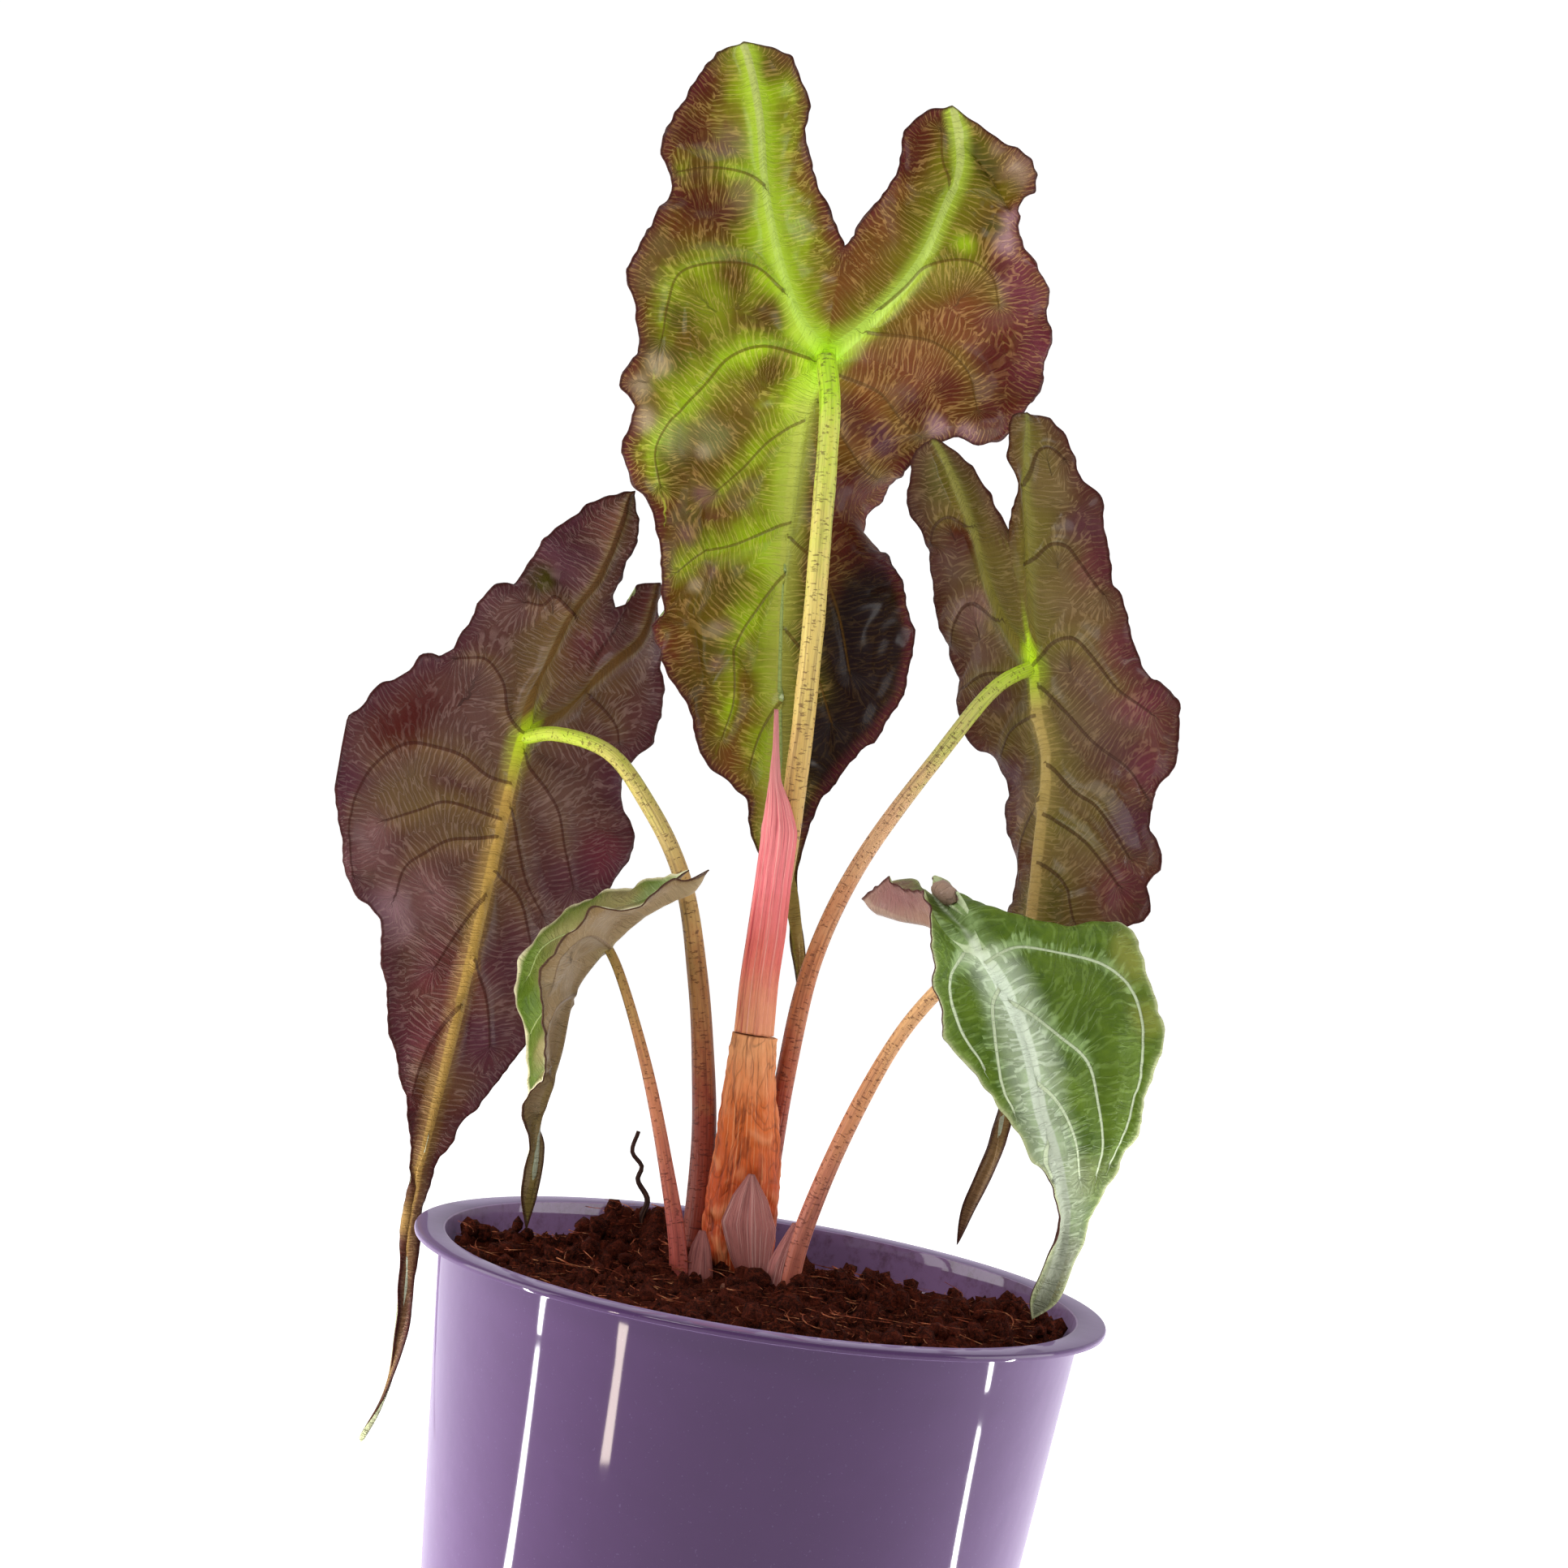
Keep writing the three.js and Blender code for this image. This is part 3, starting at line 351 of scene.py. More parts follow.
def to_line(points, line, normals=None):
    """For each point: its distance to a line, the length along it there, and the side it is on."""
    a, b = line[:-1], line[1:]
    ab = b - a
    length = np.maximum(np.linalg.norm(ab, axis=1), 1e-9)
    start = np.concatenate([[0], np.cumsum(length)[:-1]])
    away = points[:, None, :] - a[None]
    share = np.clip((away * ab).sum(-1) / length**2, 0, 1)
    offset = away - share[..., None] * ab
    gap = np.linalg.norm(offset, axis=-1)
    best = gap.argmin(axis=1)
    rows = np.arange(len(points))
    # Beyond an end the length runs on by angle, so that a pattern fans out round it.
    ahead = (away[rows, best] * ab[best]).sum(-1) / length[best]
    beyond = np.maximum(-ahead, 0) * (best == 0) - np.maximum(ahead - length[best], 0) * (best == len(a) - 1)
    across = np.sqrt(np.maximum(gap[rows, best] ** 2 - beyond**2, 1e-9))
    fan = FAN * np.arctan2(-beyond, across)
    side = np.ones(len(points))
    if normals is not None:
        side = np.sign((np.cross(ab[best], offset[rows, best]) * normals).sum(-1))
    return gap[rows, best], start[best] + share[rows, best] * length[best] + fan, side


def ripple(points, size, seed):
    """Soft random waves of about the given size, between -1 and 1."""
    rng = np.random.default_rng(seed)
    total = np.zeros(len(points))
    for _ in range(6):
        direction = rng.normal(size=3)
        direction /= np.linalg.norm(direction)
        reach = 2 * math.pi / (size * rng.uniform(0.7, 1.5))
        total += np.sin(points @ direction * reach + rng.uniform(0, 6.3))
    return total / 3.5


def waves(points, kinds):
    """Soft waves of several kinds together, each a height, a size and a seed."""
    return sum(height * ripple(points, size, seed) for height, size, seed in kinds)


def averaged(values, ends, times):
    """Each point's values shared out among its neighbours, as often as asked."""
    first, second = ends.T
    count = 1 + np.bincount(ends.ravel(), minlength=len(values))[:, None]
    for _ in range(times):
        total = values.copy()
        for column in range(values.shape[1]):
            total[:, column] += np.bincount(first, values[second, column], len(values))
            total[:, column] += np.bincount(second, values[first, column], len(values))
        values = total / count
    return values


def smoothstep(low, high, value):
    share = np.clip((value - low) / (high - low), 0, 1)
    return share * share * (3 - 2 * share)


# Meshes


def patch(bm, rows, columns, place, turned=False):
    """A grid laid on a surface: place gives a point for each row and column number."""
    keep = [bm.verts.layers.float.get(name) or bm.verts.layers.float.new(name) for name in ("down", "across")]
    made = bmesh.ops.create_grid(bm, x_segments=len(columns) - 1, y_segments=len(rows) - 1, size=1.0)
    down, across = np.repeat(rows, len(columns)), np.tile(columns, len(rows))
    points = place(down, across)
    for vert, point, row, column in zip(made["verts"], points, down, across):
        vert.co = point
        vert[keep[0]], vert[keep[1]] = row, column
    if turned:
        bmesh.ops.reverse_faces(bm, faces=list({face for vert in made["verts"] for face in vert.link_faces}))
    return made["verts"]


def tube(bm, place, rings, sides):
    """A closed tube: place gives a point for a share of the length and of the turn."""
    patch(bm, np.linspace(0, 1, rings + 1), np.linspace(0, 1, sides + 1), place)
    bmesh.ops.remove_doubles(bm, verts=bm.verts, dist=1e-4)
    bmesh.ops.holes_fill(bm, edges=[edge for edge in bm.edges if edge.is_boundary], sides=0)
    bmesh.ops.recalc_face_normals(bm, faces=bm.faces)


def piece_from(bm, name, nodes, materials, smooth=True):
    """The finished object, in metres, riding on the body in place of its solids."""
    bmesh.ops.scale(bm, vec=(MM, MM, MM), verts=bm.verts)
    mesh = bpy.data.meshes.new(name)
    bm.to_mesh(mesh)
    bm.free()
    piece = bpy.data.objects.new(name, mesh)
    bpy.context.scene.collection.objects.link(piece)
    for material in materials:
        mesh.materials.append(material)
    if smooth:
        mesh.shade_smooth()
    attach(piece, BODY)
    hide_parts(*nodes)
    return piece


def attribute(mesh, name, kind, domain, values):
    made = mesh.attributes.new(name, kind, domain)
    key = {"FLOAT": "value", "FLOAT_VECTOR": "vector", "FLOAT_COLOR": "color"}[kind]
    made.data.foreach_set(key, np.ascontiguousarray(values, np.float32).ravel())


def drop(mesh, *names):
    for name in names:
        mesh.attributes.remove(mesh.attributes[name])


def values_of(items, key, width, kind=np.float32):
    """One value of each item of a mesh, as a row of numbers."""
    out = np.empty(len(items) * width, kind)
    items.foreach_get(key, out)
    return out.reshape(-1, width)


# Materials


class Recipe:
    """A node tree that is written line by line."""

    def __init__(self, tree):
        self.tree = tree

    def node(self, kind, inputs=None, **settings):
        made = self.tree.nodes.new(kind)
        for key, value in settings.items():
            setattr(made, key, value)
        for key, value in (inputs or {}).items():
            self.feed(made.inputs[key], value)
        return made

    def feed(self, socket, value):
        if isinstance(value, bpy.types.NodeSocket):
            self.tree.links.new(value, socket)
        elif socket.type == "RGBA":
            socket.default_value = (*value[:3], 1.0)
        else:
            socket.default_value = value

    def math(self, operation, *values, clamp=False):
        inputs = dict(enumerate(values))
        return self.node("ShaderNodeMath", inputs, operation=operation, use_clamp=clamp).outputs[0]

    def times(self, first, second, clamp=False):
        return self.math("MULTIPLY", first, second, clamp=clamp)

    def plus(self, first, second):
        return self.math("ADD", first, second)

    def minus(self, first, second):
        return self.math("SUBTRACT", first, second)

    def span(self, value, low, high, first=0.0, last=1.0, kind="SMOOTHSTEP"):
        """The value's place between low and high, as a number from first to last."""
        inputs = {0: value, 1: low, 2: high, 3: first, 4: last}
        return self.node("ShaderNodeMapRange", inputs, interpolation_type=kind).outputs[0]

    def mix(self, share, first, second, blend="MIX"):
        made = self.node("ShaderNodeMix", {0: share, 6: first, 7: second}, data_type="RGBA", blend_type=blend)
        return made.outputs[2]

    def vector(self, source, scale):
        return self.node("ShaderNodeVectorMath", {0: source, 1: scale}, operation="MULTIPLY").outputs[0]

    def noise(self, place, scale=1.0, detail=3.0, rough=0.55, twist=0.0):
        """Soft noise between 0 and 1 at a place, mostly in millimetres."""
        inputs = {"Vector": place, "Scale": scale, "Detail": detail, "Roughness": rough, "Distortion": twist}
        return self.node("ShaderNodeTexNoise", inputs).outputs[0]

    def ramp(self, value, stops):
        """The colour at a value between 0 and 1, from stops of a place and a colour."""
        made = self.node("ShaderNodeValToRGB", {0: value})
        elements = made.color_ramp.elements
        while len(elements) < len(stops):
            elements.new(0.5)
        for element, (place, colour) in zip(elements, stops):
            element.position = place
            element.color = (*colour[:3], 1.0)
        return made.outputs[0]

    def use(self, tree, *values):
        """The first output of a node group that is fed the values in order."""
        return self.node("ShaderNodeGroup", dict(enumerate(values)), node_tree=tree).outputs[0]

    def attribute(self, name):
        return self.node("ShaderNodeAttribute", attribute_name=name)

    def parts(self, vector):
        return self.node("ShaderNodeSeparateXYZ", {0: vector}).outputs

    def place(self):
        """A point of the piece in millimetres."""
        coordinates = self.node("ShaderNodeTexCoord").outputs["Object"]
        return self.vector(coordinates, (1000.0, 1000.0, 1000.0))


def group(name, inputs, outputs, build):
    """A shader node group, built the first time that it is asked for."""
    tree = bpy.data.node_groups.get(name)
    if tree is None:
        tree = bpy.data.node_groups.new(name, "ShaderNodeTree")
        for label, kind in inputs:
            tree.interface.new_socket(label, in_out="INPUT", socket_type=kind)
        for label, kind in outputs:
            tree.interface.new_socket(label, in_out="OUTPUT", socket_type=kind)
        entry, leave = tree.nodes.new("NodeGroupInput"), tree.nodes.new("NodeGroupOutput")
        recipe = Recipe(tree)
        for label, value in build(recipe, entry.outputs).items():
            tree.links.new(value, leave.inputs[label])
    return tree


FLOAT, VECTOR = "NodeSocketFloat", "NodeSocketVector"


# How the net's noise is stretched along a vein and away from it: soft for the sway of its lines,
# and drawn for the fine ones between them.
NET_SOFT, NET_DRAWN, NET_SWAY = (0.13, 0.15, 1.0), (0.62, 0.12, 1.0), 3.0


def net_lines():
    """Fine wavering lines that run away from the nearest vein, as in a leaf's net of small veins."""

    def build(r, given):
        along = r.parts(given["Flow"])[0]
        soft = r.vector(given["Flow"], NET_SOFT)
        sway = r.times(r.noise(soft, scale=1.0, detail=2.0, rough=0.4), NET_SWAY)
        turn = r.plus(r.math("DIVIDE", along, given["Spacing"]), sway)
        wave = r.math("SINE", r.times(turn, 2 * math.pi))
        line = r.span(wave, 0.35, 1.0)
        drawn = r.vector(given["Flow"], NET_DRAWN)
        fine = r.math("ABSOLUTE", r.minus(r.noise(drawn, scale=1.0, detail=2.0, rough=0.5, twist=0.4), 0.5))
        fine = r.span(fine, 0.035, 0.0)
        patchy = r.span(r.noise(soft, scale=2.3, detail=2.0), 0.35, 0.6)
        line = r.times(line, r.plus(r.times(patchy, 0.7), 0.15))
        return {"Lines": r.math("MAXIMUM", line, r.times(fine, 0.9))}

    return group("Net lines", [("Flow", VECTOR), ("Spacing", FLOAT)], [("Lines", FLOAT)], build)


def mottle():
    """Broad and fine unevenness of colour, between 0 and 1."""

    def build(r, given):
        broad = r.noise(given["Place"], scale=r.math("DIVIDE", 1.0, given["Size"]), detail=3.0, rough=0.6)
        fine = r.noise(given["Place"], scale=r.math("DIVIDE", 6.0, given["Size"]), detail=2.0, rough=0.5)
        value = r.plus(r.times(broad, 0.7), r.times(fine, 0.3))
        return {"Value": r.span(value, 0.34, 0.66)}

    return group("Mottle", [("Place", VECTOR), ("Size", FLOAT)], [("Value", FLOAT)], build)


def stripe():
    """A soft-edged stripe about a line: 1 within the width and 0 beyond its soft edge."""

    def build(r, given):
        gap = r.math("ABSOLUTE", given["Distance"])
        return {"Mask": r.span(gap, r.plus(given["Width"], given["Softness"]), given["Width"])}

    sockets = [("Distance", FLOAT), ("Width", FLOAT), ("Softness", FLOAT)]
    return group("Stripe", sockets, [("Mask", FLOAT)], build)


def surface(name, build, **constants):
    """A material: build gives colour, roughness and height, and constants go on the shader itself."""
    material = bpy.data.materials.new(name)
    material.use_nodes = True
    tree = material.node_tree
    tree.nodes.clear()
    r = Recipe(tree)
    colour, roughness, height, depth = build(r)
    bump = r.node("ShaderNodeBump", {"Height": height, "Distance": depth * MM, "Strength": 1.0})
    shader = r.node("ShaderNodeBsdfPrincipled", {
        "Base Color": colour, "Roughness": roughness, "Normal": bump.outputs[0]})
    for key, value in constants.items():
        r.feed(shader.inputs[key.replace("_", " ")], value)
    out = r.node("ShaderNodeOutputMaterial")
    tree.links.new(shader.outputs[0], out.inputs[0])
    return material


# How far unevenness and the net shift the veins' tint and painted backlight, in millimetres, how many rib
# widths the halo reaches, and where the tones of a rib and of its halo lie: 0 is the tip, and 0.5 is the
# joint.
UNEVEN_SHIFT, NET_SHIFT, HALO_REACH = 3.0, 1.2, 4.5
RIB_STOPS, HALO_STOPS = (0.0, 0.46, 0.5, 0.53, 1.0), (0.0, 0.46, 0.5, 0.54, 1.0)
LEAF_BUMP, STALK_BUMP, SHEATH_BUMP, POT_BUMP, SOIL_BUMP = 0.32, 0.25, 0.5, 0.3, 1.0


def leaf_skin(name, look):
    """One side of a blade: its field, the veins' tint with painted backlight shining through about them, net,
    ribs, margin and casts, some of them painted sheen and highlights.
    """

    def build(r):
        place = r.place()
        flow = r.attribute("flow").outputs["Vector"]
        off_vein, close_vein, vein_share = r.parts(r.attribute("vein").outputs["Vector"])
        off_rib, rib_share, off_edge = r.parts(r.attribute("ribs").outputs["Vector"])
        cast = r.attribute("cast")
        uneven = r.use(mottle(), place, look["patch"])
        net = r.use(net_lines(), flow, look["spacing"])

        field = r.mix(uneven, look["field"], look["field_2"])
        # About the veins and ribs: under a blade, painted backlight shining through it; over it, the veins'
        # own paler tint. Each half shows its own share.
        gap = r.math("ABSOLUTE", off_vein)
        gap = r.plus(gap, r.times(vein_share, look["vein_fade"]))
        near = r.math("MINIMUM", gap, r.times(off_rib, look["rib_pull"]))
        near = r.plus(near, r.times(r.minus(uneven, 0.5), UNEVEN_SHIFT))
        near = r.minus(near, r.times(net, NET_SHIFT))
        vein_tint_and_backlight = r.span(near, look["vein_tint_and_backlight_reach"], 0.0, 0.0, look["vein_tint_and_backlight_strength"])
        vein_tint_and_backlight = r.times(vein_tint_and_backlight, r.attribute("vein_tint_and_backlight").outputs["Fac"])
        colour = r.mix(vein_tint_and_backlight, field, look["vein_tint_and_backlight"])
        # Casts: the leaf's own tones, and painted sheen and highlights in the pearly, rosy, bright
        # yellow-green and some mauve places.
        cast_share = r.times(cast.outputs["Alpha"], look["cast_share"])
        colour = r.mix(cast_share, colour, cast.outputs["Color"])
        band = r.span(off_edge, look["edge_width"], 0.3, 0.0, look["edge_strength"])
        colour = r.mix(band, colour, look["edge"])
        light = r.node("ShaderNodeRGBToBW", {0: colour}).outputs[0]
        lit = r.times(net, r.span(light, 0.006, 0.05, 0.1, look["net_strength"]))
        colour = r.mix(lit, colour, look["net"], "SCREEN")

        wide = r.span(rib_share, 0.5, 0.58, look["rib_width"] * 0.5, look["lobe_width"] * 0.5)
        reach = r.times(wide, HALO_REACH)
        halo = r.use(stripe(), off_rib, wide, reach)
        rib_keys = ("rib_tip", "rib", "joint", "lobe", "rib_end")
        halo_keys = ("rib_tip", "rib", "joint", "halo", "halo")
        rib_tone = r.ramp(rib_share, [(stop, look[key]) for stop, key in zip(RIB_STOPS, rib_keys)])
        halo_tone = r.ramp(rib_share, [(stop, look[key]) for stop, key in zip(HALO_STOPS, halo_keys)])
        feather = r.plus(r.times(net, 0.4), look["halo_strength"])
        colour = r.mix(r.times(halo, feather, clamp=True), colour, halo_tone)
        core = r.use(stripe(), off_rib, wide, 0.35)
        colour = r.mix(core, colour, rib_tone)
        thin = r.times(r.minus(1.0, r.times(vein_share, 0.6)), look["vein_width"])
        line = r.use(stripe(), off_vein, thin, 0.2)
        line = r.times(line, r.span(close_vein, 0.1, 0.4, 0.0, look["vein_strength"]))
        colour = r.mix(line, colour, look["vein"])
        rim = r.span(off_edge, 0.7, 0.15, 0.0, look["rim_strength"])
        colour = r.mix(rim, colour, look["rim"])

        height = r.plus(r.times(net, 0.45), r.times(line, 0.8))
        height = r.plus(height, r.times(r.noise(place, scale=1.6, detail=4.0, rough=0.6), 0.8))
        roughness = r.plus(r.times(uneven, 0.12), look["rough"])
        return colour, roughness, height, LEAF_BUMP

    return surface(name, build, Specular_IOR_Level=look["shine"], Coat_Weight=look["coat"],
                   Coat_Roughness=0.2)


# How a blade is coloured on each side. Words are screen colours, and the widths, the reaches and
# the patches' size are in millimetres.

# Under a blade the colour about the veins is painted backlight shining through it; over a blade it is the
# veins' own paler tint.
UNDER = {
    "field": "561c0a", "field_2": "5c460a", "vein_tint_and_backlight": "a0c416", "edge": "541824", "net": "8a6c40",
    "rim": "38100e", "vein": "54380e", "rib": "b4c04c", "rib_tip": "8a6a40", "rib_end": "b0b866",
    "joint": "a2d610", "lobe": "b0d048", "halo": "b0cc40", "halo_strength": 0.6,
    "cast_share": 1.0, "patch": 9.0, "spacing": 1.05, "vein_fade": 4.0, "rib_pull": 0.7,
    "vein_tint_and_backlight_reach": 8.0, "vein_tint_and_backlight_strength": 0.95,
    "edge_width": 3.0, "edge_strength": 0.6, "net_strength": 0.85, "rib_width": 1.9, "lobe_width": 1.2,
    "vein_width": 0.14, "vein_strength": 0.65, "rim_strength": 0.85,
    "rough": 0.3, "shine": 0.05, "coat": 0.14,
}
UPPER = {
    "field": "40580f", "field_2": "5f701e", "vein_tint_and_backlight": "6c8030", "edge": "87965a", "net": "3a4620",
    "rim": "b0b488", "vein": "c4d2a0", "rib": "e6f2dc", "rib_tip": "8c9070", "rib_end": "b4c090",
    "joint": "ecf7dc", "lobe": "ccdcb0", "halo": "a0b078", "halo_strength": 0.3,
    "cast_share": 1.0, "patch": 10.0, "spacing": 2.2, "vein_fade": 3.0, "rib_pull": 1.0,
    "vein_tint_and_backlight_reach": 5.0, "vein_tint_and_backlight_strength": 0.5,
    "edge_width": 1.6, "edge_strength": 0.45, "net_strength": 0.4, "rib_width": 1.5, "lobe_width": 1.0,
    "vein_width": 0.22, "vein_strength": 0.85, "rim_strength": 0.7,
    "rough": 0.32, "shine": 0.14, "coat": 0.0,
}

# Tones that a leaf takes in places of its own. The pearly, rosy and bright yellow-green tones are painted
# highlights and sheen, and the mauve is partly the leaf's own tone and partly painted sheen.
CAST_TONES = {
    "maroon": "480e08", "russet": "6a3c18", "rust": "6e3a1e", "wine": "5e2430", "plum": "4a2030",
    "ink": "140203", "lime_highlight": "a4c81c", "olive": "6a6412", "moss": "47420c", "sage": "7c8450",
    "khaki": "6c5634", "taupe": "644840", "mauve": "7a5252", "rose_sheen": "b48c98", "pearl_highlight": "b8a486",
    "tan": "a08268", "leaf": "4c6212", "straw": "8a8c3c", "sand": "96805c", "umber": "6a5c2c",
    "ash": "6e6a58",
}
